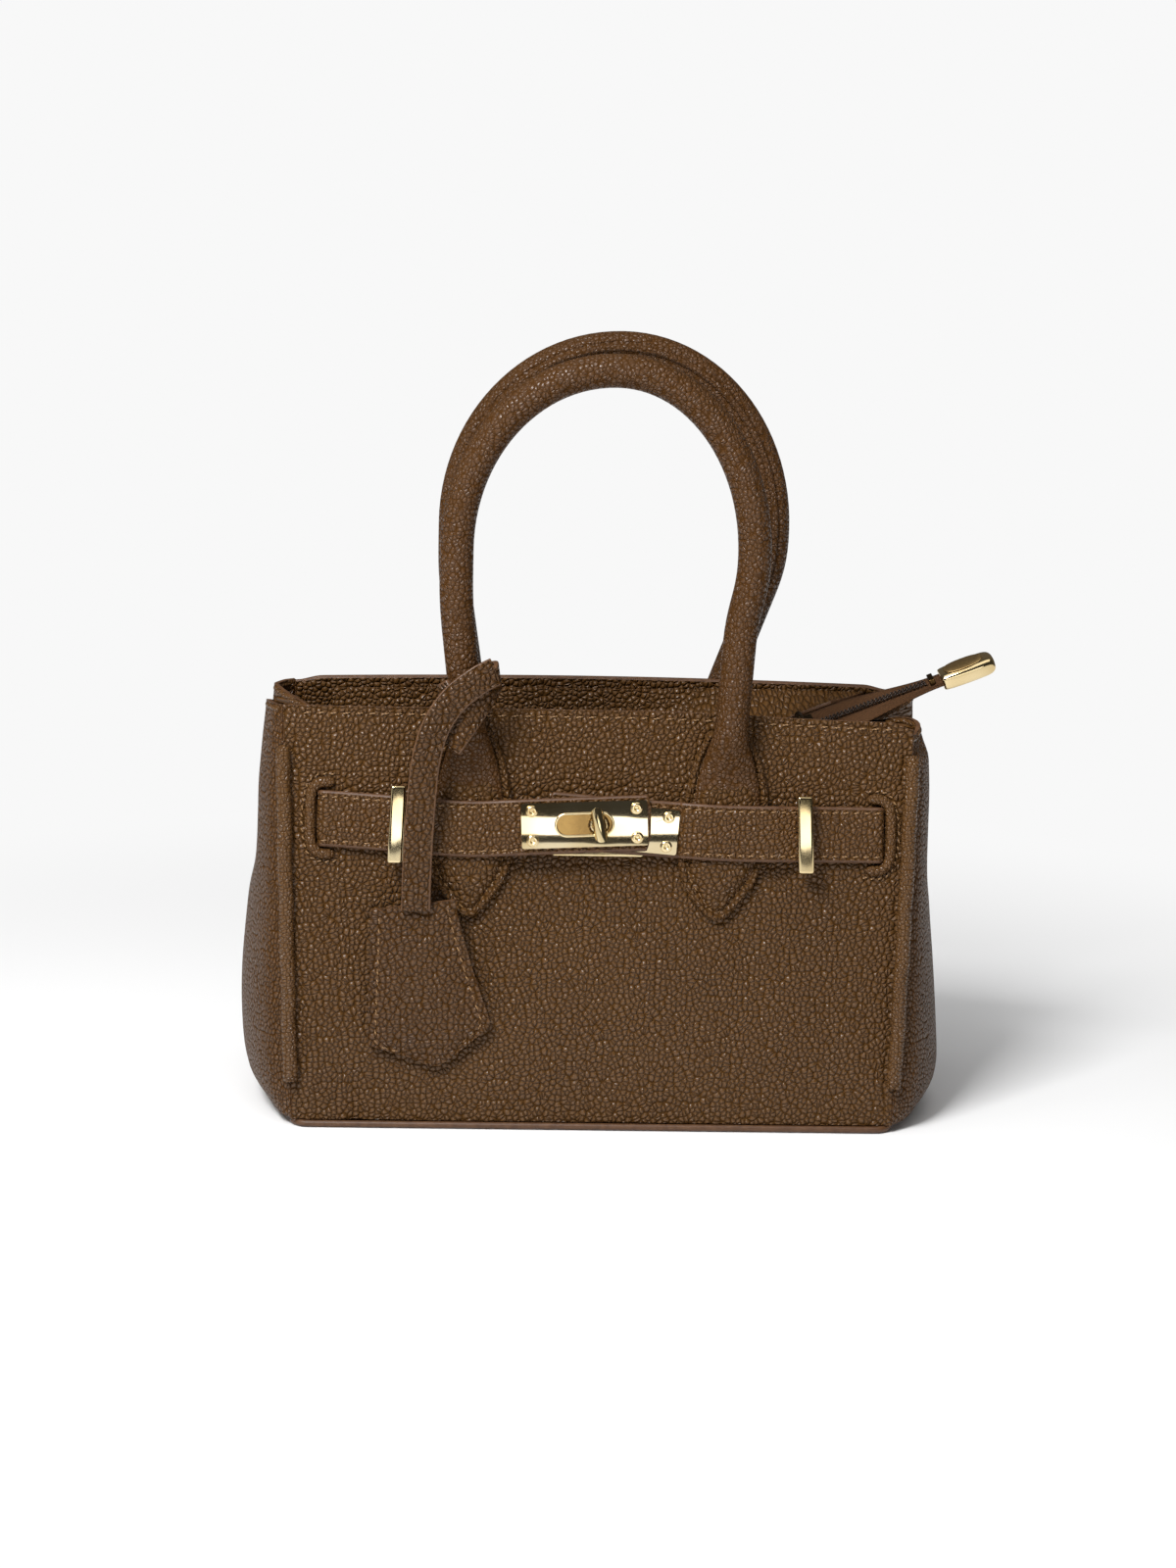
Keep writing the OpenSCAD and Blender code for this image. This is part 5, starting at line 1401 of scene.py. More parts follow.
@dataclass
class Handle:
    """One tubular handle from tab to tab, its seam ridge towards the other handle.

    The shift moves the arch to the right: at its pivots, at its widest place and at its crown.
    """

    shape: BagShape
    bench: Bench
    face: Face
    pivot_x: float
    span_x: float
    crown_z: float
    shift: tuple[float, float, float]
    foot_x: float = 45.8
    foot_z: float = 139.0
    pivot_y: float = 40.4
    pivot_z: float = 176.0
    radius: float = 5.9
    tab_w: float = 31.0
    tab_tip_z: float = 76.5
    tab_top_z: float = 143.0
    leg_r: float = 6.0
    leg_gap: float = 2.0
    leg_z: float = 86.0

    @cached_property
    def foot_y(self) -> float:
        """Depth of a leg's middle at its foot."""
        return self.shape.face_y(self.foot_z) - self.leg_r - self.leg_gap

    def half_arch(self, hand: Hand) -> list[Vector]:
        """Middle line of half the arch, from the pivot to the crown."""
        s = hand.value
        top_x = self.pivot_x + s * self.shift[0]
        span = self.span_x + s * self.shift[1]
        crown_x = s * self.shift[2]
        lean = math.atan2(top_x - self.foot_x, self.pivot_z - self.foot_z)
        wide_z = self.pivot_z + (self.crown_z - self.pivot_z) * 0.33
        pull = (wide_z - self.pivot_z) * 0.45
        up = self.crown_z - wide_z
        y = -self.pivot_y

        def at(x: float, z: float) -> Vector:
            """Returns a point of the arch's plane."""
            return Vector((s * x, y, z))

        side = bezier(
            at(top_x, self.pivot_z),
            at(top_x + pull * math.sin(lean), self.pivot_z + pull * math.cos(lean)),
            at(span, wide_z - pull),
            at(span, wide_z),
            10,
        )
        over = bezier(
            at(span, wide_z),
            at(span, wide_z + up * 0.55),
            at(crown_x + (span - crown_x) * 0.56, self.crown_z),
            at(crown_x, self.crown_z),
            26,
        )
        return side + over[1:]

    def leg(self, hand: Hand) -> list[tuple[Vector, float, float]]:
        """Middle points of the padded leg with their width and depth, from the tab up to the pivot."""
        shape = self.shape
        top_x = self.pivot_x + hand.value * self.shift[0]
        widths = (
            (86, 9), (92, 18), (100, 23), (118, 24), (126, 21.8), (133.6, 18), (138.5, 14.8), (142.4, 12.4), (146, 11.8)
        )
        depths = ((86, 1.0), (92, 2.6), (100, 3.5), (120, 3.8), (128, 5.6), (136, 8.8), (143, 11.4), (146, 11.8))
        stations = []
        z = self.leg_z
        while z < self.pivot_z - 1:
            flare = ease((z - 119.5) / 26.0)
            width = sum(table(widths, z + d) for d in (-1.5, 0, 1.5)) / 3
            depth = sum(table(depths, z + d) for d in (-1.5, 0, 1.5)) / 3
            if z <= self.foot_z:
                x, back = self.foot_x, mix(shape.face_y(z, 0.4), self.foot_y + self.radius, flare)
            else:
                t = (z - self.foot_z) / (self.pivot_z - self.foot_z)
                x = mix(self.foot_x, top_x, t)
                back = mix(self.foot_y, -self.pivot_y, t) + self.radius
                back = mix(shape.face_y(z, 0.4), back, flare)
            stations.append((Vector((hand.value * x, back - depth / 2, z)), width, depth))
            z += 2.0 if z < 150 else 3.5
        return stations

    def tube(self) -> None:
        """Builds the tube as one skin between the bag and the handle, leaving it unattached to any body."""
        left, right = self.leg(Hand.LEFT), self.leg(Hand.RIGHT)
        d = 2 * self.radius
        arch = [(p, d, d) for p in self.half_arch(Hand.LEFT)]
        arch += [(p, d, d) for p in reversed(self.half_arch(Hand.RIGHT)[:-1])]
        stations = left + arch + list(reversed(right))
        path = [p for p, _, _ in stations]
        count = 60
        rings = []
        for i, (p, width, depth) in enumerate(stations):
            t = tangent(path, i)
            a = Vector((0, 1, 0)).cross(t).normalized()
            b = t.cross(a)
            round_ = ease((depth - 6) / 4)
            edge = min(i, len(stations) - 1 - i)
            k = (0.15, 0.6, 0.85, 1.0)[min(edge, 3)]
            ring = []
            for q in range(count):
                share = 2 * (q + 0.5) / count - 1
                off = math.pi * (0.35 * share + 0.65 * share**3)
                w = math.pi / 2 + off
                ridge = 1.1 * math.exp(-((off / 0.19) ** 4)) - 0.45 * bell(abs(off) - 0.33, 0.09)
                r = 1 + ridge / self.radius * round_
                ring.append(p + (a * math.cos(w) * width / 2 * r + b * math.sin(w) * depth / 2 * r) * k)
            rings.append([Shell.turned(v, self.face) for v in ring])
        name = self.face.word
        fin = self.bench.finishes
        obj = self.bench.piece(
            tube(rings, (38, 400)), f"{name}_handle_leather", None, [fin.handle], Slot.BODY,
            [f"{name}_handle_cover", f"{name}_left_tab", f"{name}_right_tab"],
        )
        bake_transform(obj)

    def tab_outline(self) -> list[Vector]:
        """Outline of a tab round its middle line, in X and Z, from its top left round the tip to its top right."""
        shares = (
            (0, 0), (0.012, 0.16), (0.04, 0.3), (0.08, 0.46), (0.2, 0.82), (0.34, 0.99), (0.5, 1),
            (0.66, 0.95), (0.82, 0.8), (0.93, 0.6), (1, 0.42),
        )
        half = [Vector((w * self.tab_w / 2, 0, mix(self.tab_tip_z, self.tab_top_z, s))) for s, w in shares]
        right = smooth_path(half, 5)
        return [Vector((-p.x, 0, p.z)) for p in reversed(right[1:])] + right

    def tab(self, hand: Hand) -> None:
        """Builds the sewn-down tab: a rolled rim, a stitch groove inside it and a padded middle."""
        shape = self.shape
        outline = self.tab_outline()
        steps, stitch_in = 22, 3.1
        centre_z = self.tab_tip_z + 16.0

        def rise(d: float, z: float) -> float:
            """Height of the leather over the panel at a distance inside the outline."""
            rim = 2.8 * math.sqrt(max(1 - (1 - min(d / 1.2, 1)) ** 2, 0.0))
            groove = 1.6 * bell(d - stitch_in, 0.9)
            pad = 1.7 * ease((d - 3.6) / 5.0) * ease((z - 80) / 10)
            return 0.2 + rim - groove + pad

        def slide(z: float) -> float:
            """Sideways lean of the right front tab's foot."""
            return -3.2 * ease((128 - z) / 52) if hand is Hand.RIGHT and self.face is Face.FRONT else 0.0

        def inside(p: Vector, t: float) -> Vector:
            """Returns the point a share t of the way from the outline to the middle line."""
            return p.lerp(Vector((0, 0, max(p.z, centre_z))), t)

        def place(i: int, j: int) -> Vector:
            """Returns the place of a vertex of the tab."""
            p = outline[i]
            q = inside(p, (1 - j / steps) ** 1.5)
            return shape.on_face(hand.value * self.foot_x + q.x + slide(q.z), q.z, rise((q - p).length, q.z))

        bm = leaf(len(outline) - 1, steps, place, 0.2)
        weave = bm.loops.layers.uv["weave"]
        for f in bm.faces:
            if sum(loop[weave].uv.y for loop in f.loops) / len(f.loops) > 0.92:
                f.material_index = 1
        Shell.mirror(bm, self.face)
        fin = self.bench.finishes
        name = f"{self.face.word}_{hand.word}_tab"
        self.bench.piece(bm, f"{name}_leather", "bag", [fin.leather, fin.piping], Slot.BODY)
        line = []
        for p in outline:
            reach = (inside(p, 1) - p).length
            if p.z > self.tab_top_z - 3 or reach < 3.2:
                continue
            q = inside(p, stitch_in / reach)
            at = shape.on_face(hand.value * self.foot_x + q.x + slide(q.z), q.z, rise(stitch_in, q.z) + 0.1)
            line.append((Shell.turned(at, self.face), Shell.turned(shape.out(q.z), self.face)))
        self.bench.sew(f"{name}_stitches", "bag", line, pitch=3.1, length=2.2)

    def build(self) -> None:
        """Builds the handle and its tabs."""
        self.tube()
        for hand in Hand:
            self.tab(hand)


# Belt and lock


@dataclass
class Belt:
    """The two belt halves and the lips of their slots.

    Heights out of the face are those of a half's middle layer: where it lies free, and where it crosses a tab.
    """

    shape: BagShape
    bench: Bench
    width: float = 20.0
    thick: float = 2.4
    left_keeper_x: float = 71.2
    right_keeper_x: float = 73.2
    stitch_up: float = 7.8
    bend_r: float = 1.7
    free_n: float = 1.6
    tab_n: float = 5.8

    def keeper_x(self, hand: Hand) -> float:
        """Distance of a keeper from the middle."""
        return self.left_keeper_x if hand is Hand.LEFT else self.right_keeper_x

    def level(self, hand: Hand, x: float) -> float:
        """Height of the belt's middle line at x, measured from the lock's."""
        if x < 0:
            return -x * math.tan(math.radians(abs(PLATE_TILT[hand])))
        slot = (self.shape.slot_x(hand), SLOT_RISE[hand])
        if hand is Hand.LEFT:
            points = ((0, 0), (22.3, -1.2), (45.8, -2.6), (self.left_keeper_x, -1.0), slot)
        else:
            points = ((0, 0), (22.3, -1.4), (45.8, -2.6), slot)
        return sum(table(points, x + d) for d in (-6, -3, 0, 3, 6)) / 5

    def half(self, hand: Hand) -> None:
        """Builds one half from its slot to its end on the lock."""
        shape = self.shape
        lock, tip, plate_end = (6.9, 18.4, 27.7) if hand is Hand.LEFT else (3.1, 17.5, 28.6)
        edge = max(lock, 4.24)
        turn_x, bend_r, free, tab = shape.slot_x(hand) - 1.5, self.bend_r, self.free_n, self.tab_n
        key = [
            (turn_x, free), (turn_x - 3.4, free), (86, 1.9), (self.keeper_x(hand) + 2.5, 2.8), (67, 4.6),
            (61.3, tab), (50, tab), (39.6, tab), (34, mix(edge, tab, 0.6)), (30, edge),
            (plate_end, lock), (14, lock), (0, lock), (-tip + 3, lock), (-tip, lock),
        ]
        flat = [Vector((turn_x + bend_r, -2.2, 0)), Vector((turn_x + bend_r, -0.9, 0))]
        for degrees in range(0, 90, 15):
            a = math.radians(degrees)
            flat.append(Vector((turn_x + bend_r * math.cos(a), free - bend_r * (1 - math.sin(a)), 0)))
        flat += smooth_path([Vector((x, n, 0)) for x, n in key], 8)
        section = rounded_section(self.width, self.thick, 1.0, 2.2, 0.28)
        rings = []
        stitches: dict[int, list[tuple[Vector, Vector]]] = {-1: [], 1: []}
        for i, p in enumerate(flat):
            t = tangent(flat, i)
            up = self.level(hand, p.x)
            near = (p - flat[-1]).length
            k = math.sqrt(max(1 - (1 - min(near / 1.6, 1)) ** 2, 0.35))
            normal = Vector((t.y, -t.x, 0))
            pucker = 0.12 * math.cos(math.tau * p.x / 3.8)
            ring = []
            for w, d in section:
                groove = pucker * bell(abs(w) - self.stitch_up, 0.9) if d > 0 else 0
                x, n = p.x + normal.x * (d - groove), p.y + normal.y * (d - groove)
                ring.append(shape.belt_point(hand.value * x, n, up + w * k))
            rings.append(ring)
            if p.x > -tip + 1 and p.y > 0.8:
                low, high = (p + normal * k for k in (1, 2))
                foot = shape.belt_point(hand.value * low.x, low.y, 0)
                out = (shape.belt_point(hand.value * high.x, high.y, 0) - foot).normalized()
                for s in (-1, 1):
                    at = shape.belt_point(hand.value * low.x, low.y, up + s * self.stitch_up)
                    stitches[s].append((at, out))
        name = hand.word
        fin = self.bench.finishes
        bm = tube(rings)
        paint_sides(bm, len(section), 14)
        self.bench.piece(bm, f"{name}_belt_leather", "bag", [fin.belt, fin.edge], Slot.BODY, [f"{name}_belt"])
        for s, word in ((-1, "lower"), (1, "upper")):
            self.bench.sew(f"{name}_belt_{word}_stitches", "bag", stitches[s], pitch=3.8, length=2.6)

    def lip(self, hand: Hand) -> None:
        """Builds the rolled lip round the outer half of a slot, with its stitches."""
        shape = self.shape
        h = SLOT_RISE[hand]
        upper = [(-4.9, 12.4), (-2.2, 12.7), (1.0, 12.2), (3.2, 9.6), (3.8, 5.0)]
        points = upper + [(3.9, 0)] + [(x, -y) for x, y in reversed(upper)]
        slot = shape.slot_x(hand)
        middle = smooth_path([Vector((slot + x, y, 0)) for x, y in points], 5)
        rings, line = [], []
        n = len(middle)
        for i, p in enumerate(middle):
            t = tangent(middle, i)
            side = Vector((t.y, -t.x, 0))
            size = 1.9 * math.sqrt(max(1 - (1 - min(min(i, n - 1 - i) / 5, 1)) ** 2, 0.05))
            pucker = 1 + 0.1 * math.cos(i * 1.9)
            ring = []
            for k in range(14):
                a = math.tau * k / 14
                out = 0.25 + size * max(math.sin(a), -0.1) * pucker
                q = p + side * math.cos(a) * size
                ring.append(shape.belt_point(hand.value * q.x, out, h + q.y))
            rings.append(ring)
            q = p + (p - Vector((slot - 3.4, 0, 0))).normalized() * 2.9
            line.append((shape.belt_point(hand.value * q.x, 0.1, h + q.y), shape.out(shape.belt_z)))
        name = f"{hand.word}_slot"
        fin = self.bench.finishes
        self.bench.piece(tube(rings), f"{name}_lip_leather", "bag", [fin.piping], Slot.EDGE, [f"{name}_lip"])
        self.bench.sew(f"{name}_stitches", "bag", line, pitch=2.7, length=1.9, slant=24)

    def build(self) -> None:
        """Builds both halves and lips."""
        for hand in Hand:
            self.half(hand)
            self.lip(hand)


@dataclass
class Lock:
    """Turn lock's base, the eyelet in the upper plate, domed screws and the keeper bars."""

    shape: BagShape
    bench: Bench
    belt: Belt
    screw_x: float = 18.5
    screw_up: float = 5.2
    slot_half: float = 6.2
    slot_r: float = 3.9

    def spun(self, bm: bmesh.types.BMesh, x: float, up: float, profile: Sequence[tuple[float, float]]) -> None:
        """Adds a turned shape that stands on the belt's frame.

        Args:
            bm: The mesh that it is added to.
            x: Its place along the belt.
            up: Its place up the belt.
            profile: Pairs of radius and distance out of the face.
        """
        turns = [math.tau * k / 20 for k in range(20)]
        rings = []
        for r, n in profile:
            rings.append([self.shape.belt_point(x + r * math.cos(a), n, up + r * math.sin(a)) for a in turns])
        merge(bm, tube(rings))

    def screws(self, hand: Hand) -> None:
        """Builds the four domed heads of one plate, each with a sunk middle."""
        x0, up0, n0 = PLATE_AT[hand]
        turn = Matrix.Rotation(math.radians(PLATE_TILT[hand]), 2)
        head = (
            (2.1, -0.5), (2.15, 0.1), (2.0, 0.42), (1.6, 0.66), (1.15, 0.74), (0.95, 0.66), (0.85, 0.2), (0.5, 0.1)
        )
        name = f"{hand.word}_plate_screws"
        bm = bmesh.new()
        for corner in ((-1, -1), (-1, 1), (1, -1), (1, 1)):
            x, up = turn @ Vector((corner[0] * self.screw_x, corner[1] * self.screw_up))
            self.spun(bm, x0 + x, up0 + up, [(r, n0 + n) for r, n in head])
        self.bench.piece(bm, f"{name}_metal", "bag", [self.bench.finishes.gold], Slot.GOLD, [name])

    def base(self) -> None:
        """Builds the base plate on the panel, low enough to show only its bright lower edge."""
        outline = []
        for sx, sy, start in QUARTERS:
            for degrees in range(start, start + 91, 15):
                a = math.radians(degrees)
                outline.append((sx * 15.0 + 2 * math.cos(a), -1.3 + sy * 8.3 + 2 * math.sin(a)))
        rings = []
        for n, k in ((0.35, 0.985), (0.35, 1.0), (1.5, 1.0), (1.8, 0.985), (1.85, 0.96)):
            rings.append([self.shape.belt_point(x * k, n, y * k) for x, y in outline])
        bm = tube(rings)
        # The collar round the toggle's post
        self.spun(bm, 0, 0, [(3.2, 1.7), (3.2, 8.9), (3.0, 9.15), (2.3, 9.15), (2.3, 8.8)])
        self.bench.piece(bm, "lock_base_metal", "bag", [self.bench.finishes.gold], Slot.GOLD, ["lock_base_plate"])

    def eyelet(self) -> None:
        """Builds the gilt lining of the upper plate's slot, its floor painted dark as shade."""
        tilt, cx = math.radians(PLATE_TILT[Hand.LEFT]), PLATE_AT[Hand.LEFT][0]
        half, r, rim_r = self.slot_half, self.slot_r, self.slot_r + 0.05

        def at(x: float, n: float, up: float) -> Vector:
            """Returns a point of the tilted plate."""
            c, s = math.cos(tilt), math.sin(tilt)
            return self.shape.belt_point(cx + x * c - up * s, n, x * s + up * c)

        def floor(i: int, j: int) -> Vector:
            """Returns the place of a vertex of the slot's floor."""
            return at(mix(-10.2, 10.2, i / 68), 8.5, mix(-r, r, j / 26))

        def outside(p: Vector) -> bool:
            """Says whether a face lies outside the slot or under the collar."""
            up = (p.z - self.shape.belt_z) / math.cos(self.shape.lean(self.shape.belt_z))
            x = p.x - cx
            flat = max(abs(x) - half, 0.0)
            return math.hypot(flat, up - x * math.tan(tilt) - 1.3) > r or math.hypot(p.x, up - 1.3) < 3.5

        fin = self.bench.finishes
        # The slot's floor wears gold painted dark as the shade in the recess
        self.bench.piece(leaf(68, 26, floor, 0.2, hole=outside), "lock_slot_floor", "bag", [fin.shade], Slot.GOLD)
        path = []
        for k in range(48):
            a = math.tau * k / 48
            path.append(Vector((math.copysign(half, math.cos(a)) + rim_r * math.cos(a), 0, rim_r * math.sin(a))))
        rings = []
        for i, p in enumerate(path):
            t = (path[(i + 1) % 48] - path[i - 1]).normalized()
            section = circle(p + Vector((0, 9.3, 0)), Vector((t.z, 0, -t.x)) * 0.45, Vector((0, 0.35, 0)), 10)
            rings.append([at(*q) for q in section])
        self.bench.piece(tube(rings, ring=True), "lock_slot_rim", "bag", [fin.gold], Slot.GOLD)

    def keeper(self, hand: Hand) -> None:
        """Builds one keeper: a flat-fronted bar on two feet."""
        x0 = self.belt.keeper_x(hand)
        tilt = math.radians(2.0)
        level = self.belt.level(hand, x0)
        middle = 7.75
        outline = []
        for k in range(28):
            a = math.tau * k / 28
            c, s = math.cos(a), math.sin(a)
            outline.append((math.copysign(abs(c) ** 0.3, c) * 2.75, math.copysign(abs(s) ** 0.3, s) * 2.35))
        end = [(13.5, 0.8), (13.45, 0.9), (13.1, 0.97), (12.6, 1)]
        rings = []
        for up, k in [(-up, k) for up, k in end] + list(reversed(end)):
            at = hand.value * (x0 - up * math.sin(tilt))
            rings.append([self.shape.belt_point(at + x * k, middle + n * k, level + up) for x, n in outline])
        bm = tube(rings)
        for up in (-11.2, 11.2):
            at = hand.value * (x0 - up * math.sin(tilt))
            self.spun(bm, at, level + up, [(1.2, -3.6), (1.2, 5.6), (1.0, 5.7)])
        name = f"{hand.word}_keeper"
        self.bench.piece(bm, f"{name}_bar", "bag", [self.bench.finishes.gold], Slot.GOLD, [name])

    def build(self) -> None:
        """Builds the lock's fixed parts and the keepers."""
        self.base()
        self.eyelet()
        for hand in Hand:
            self.screws(hand)
            self.keeper(hand)


# Key pouch


@dataclass
class KeyPouch:
    """Band round the handle leg, hanging strap and the flat pouch, which leans back a little towards its tip."""

    shape: BagShape
    bench: Bench
    top_z: float = 82.4
    back_y: float = -50.47
    leather_t: float = 1.2
    lean: float = 0.0148
    leg: tuple[float, float, float] = (-47.8, -41.9, 155.6)

    @property
    def cut(self) -> list[bpy.types.Material]:
        """Finishes of the pouch's leather and of its cut edges."""
        return [self.bench.finishes.pouch, self.bench.finishes.pouch_edge]

    def band(self) -> None:
        """Builds the band: its arm in front, the turn round the leg and its end."""
        points = [
            (-52.6, -51.4, 138.6), (-49.6, -51.6, 143.8), (-45.8, -51.4, 149.8), (-41.6, -50.6, 155.6),
            (-38.2, -48.4, 160.4), (-36.6, -43.8, 163.6), (-38.6, -38.4, 163.0), (-45.4, -34.8, 160.0),
            (-52.4, -36.2, 156.6), (-56.2, -41.0, 155.2), (-55.8, -46.6, 156.0), (-52.4, -50.4, 158.4),
        ]
        path = smooth_path([Vector(p) for p in points], 6)
        axis = Vector((-0.1, 0.07, 1.0)).normalized()
        across = []
        for i, p in enumerate(path):
            away = p - Vector(self.leg)
            away -= axis * away.dot(axis)
            across.append(tangent(path, i).cross(away.normalized()) * -1)
        bm = tube(strap_rings(path, across, rounded_section(9.0, 1.8, 0.75)))
        paint_sides(bm, 18, 4)
        self.bench.piece(bm, "key_band_leather", "bag", self.cut, Slot.POUCH, ["key_strap_loop"])

    def strap(self) -> None:
        """Builds the hanging strap: it comes out of the band's slit, turns down and hangs flat in front of the belt."""
        stations = [
            ((-37.4, -51.6, 165.8), (0.36, 0.16, -0.93)),
            ((-43.6, -53.4, 162.6), (0.42, 0.1, -0.9)),
            ((-51.8, -54.0, 155.8), (0.72, 0.1, -0.68)),
            ((-57.8, -54.5, 146.4), (0.9, 0.16, -0.42)),
            ((-61.0, -54.8, 135.3), (0.97, 0.16, -0.18)),
            ((-62.4, -54.8, 122.0), (1.0, 0.1, -0.06)),
            ((-63.3, -54.8, 108.0), (1.0, 0.04, 0)),
            ((-63.8, -54.9, 95.0), (1.0, 0, 0)),
            ((-64.0, -55.0, 86.0), (1.0, 0, 0)),
            ((-64.0, -54.9, 80.8), (0.94, 0, 0)),
        ]
        path = smooth_path([Vector(p) for p, _ in stations], 8)
        turns = smooth_path([Vector(a) for _, a in stations], 8)
        bm = tube(strap_rings(path, turns, rounded_section(10.4, 1.6, 0.7)))
        paint_sides(bm, 18, 4)
        obj = self.bench.piece(bm, "key_strap_leather", None, self.cut, Slot.POUCH, ["key_strap"])
        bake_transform(obj)

    def side_lines(self) -> tuple[list[Vector], list[Vector]]:
        """Left and right outline of the pouch from its top to its tip, in X and Z."""
        left = [
            (-79.9, 80.2), (-80.0, 71), (-80.5, 50), (-80.9, 35), (-80.6, 32.0), (-78.4, 30.4),
            (-70, 28.0), (-62, 25.2), (-59.4, 24.0),
        ]
        right = [
            (-50.4, 84.4), (-48.6, 76), (-43.0, 57), (-38.2, 43), (-37.4, 40.0), (-38.6, 37.6),
            (-46, 31.0), (-53.6, 24.8), (-56.2, 23.6),
        ]
        left, right = (smooth_path([Vector((x, 0, z)) for x, z in line], 6) for line in (left, right))
        return left, right

    def layer(self, name: str, depth: float, puff: float, node: str, front: bool) -> None:
        """Builds one layer of the pouch.

        Args:
            name: Name of the piece.
            depth: Distance of its outer face in front of the pouch's back.
            puff: How far its middle stands out.
            node: The CAD node it stands for.
            front: True for the layer that shows.
        """
        left, right = self.side_lines()
        columns, rows = 34, len(left) - 1

        def place(i: int, j: int) -> Vector:
            """Returns the place of a vertex of the layer."""
            a, b = left[rows - j], right[rows - j]
            u = (1 - math.cos(math.pi * i / columns)) / 2
            p = a.lerp(b, u)
            half = (b - a).length / 2
            d = min(half * (1 - abs(2 * u - 1)), (83 - p.z) * 0.9 + 0.5, (p.z - 22) * 0.8)
            swell = puff * ease(d / 12) - (0.35 * bell(d - 3.0, 0.8) if front and p.z < 78 else 0)
            y = self.back_y - depth - swell + (self.top_z - p.z) * self.lean
            return Vector((p.x, y, p.z))

        bm = leaf(columns, rows, place, self.leather_t)
        self.bench.piece(bm, name, "key_pouch", self.cut, Slot.POUCH, [node], bevel=0.35)
        if not front:
            return
        for line, sign, word in ((left, 1, "left"), (right, -1, "right")):
            row = []
            for p in line[2:-14]:
                y = self.back_y - depth + 0.2 + (self.top_z - p.z) * self.lean
                row.append((Vector((p.x + sign * 3.0, y, p.z)), Vector((0, -1, 0))))
            self.bench.sew(f"pouch_{word}_stitches", "key_pouch", row, pitch=3.7, length=2.5)

    def build(self) -> None:
        """Builds the band, the strap and the pouch."""
        self.band()
        self.strap()
        self.layer("pouch_front_leather", 2.6, 1.2, "key_pouch_front", True)
        self.layer("pouch_back_leather", 1.2, 0.0, "key_pouch_back", False)


# Zip tail


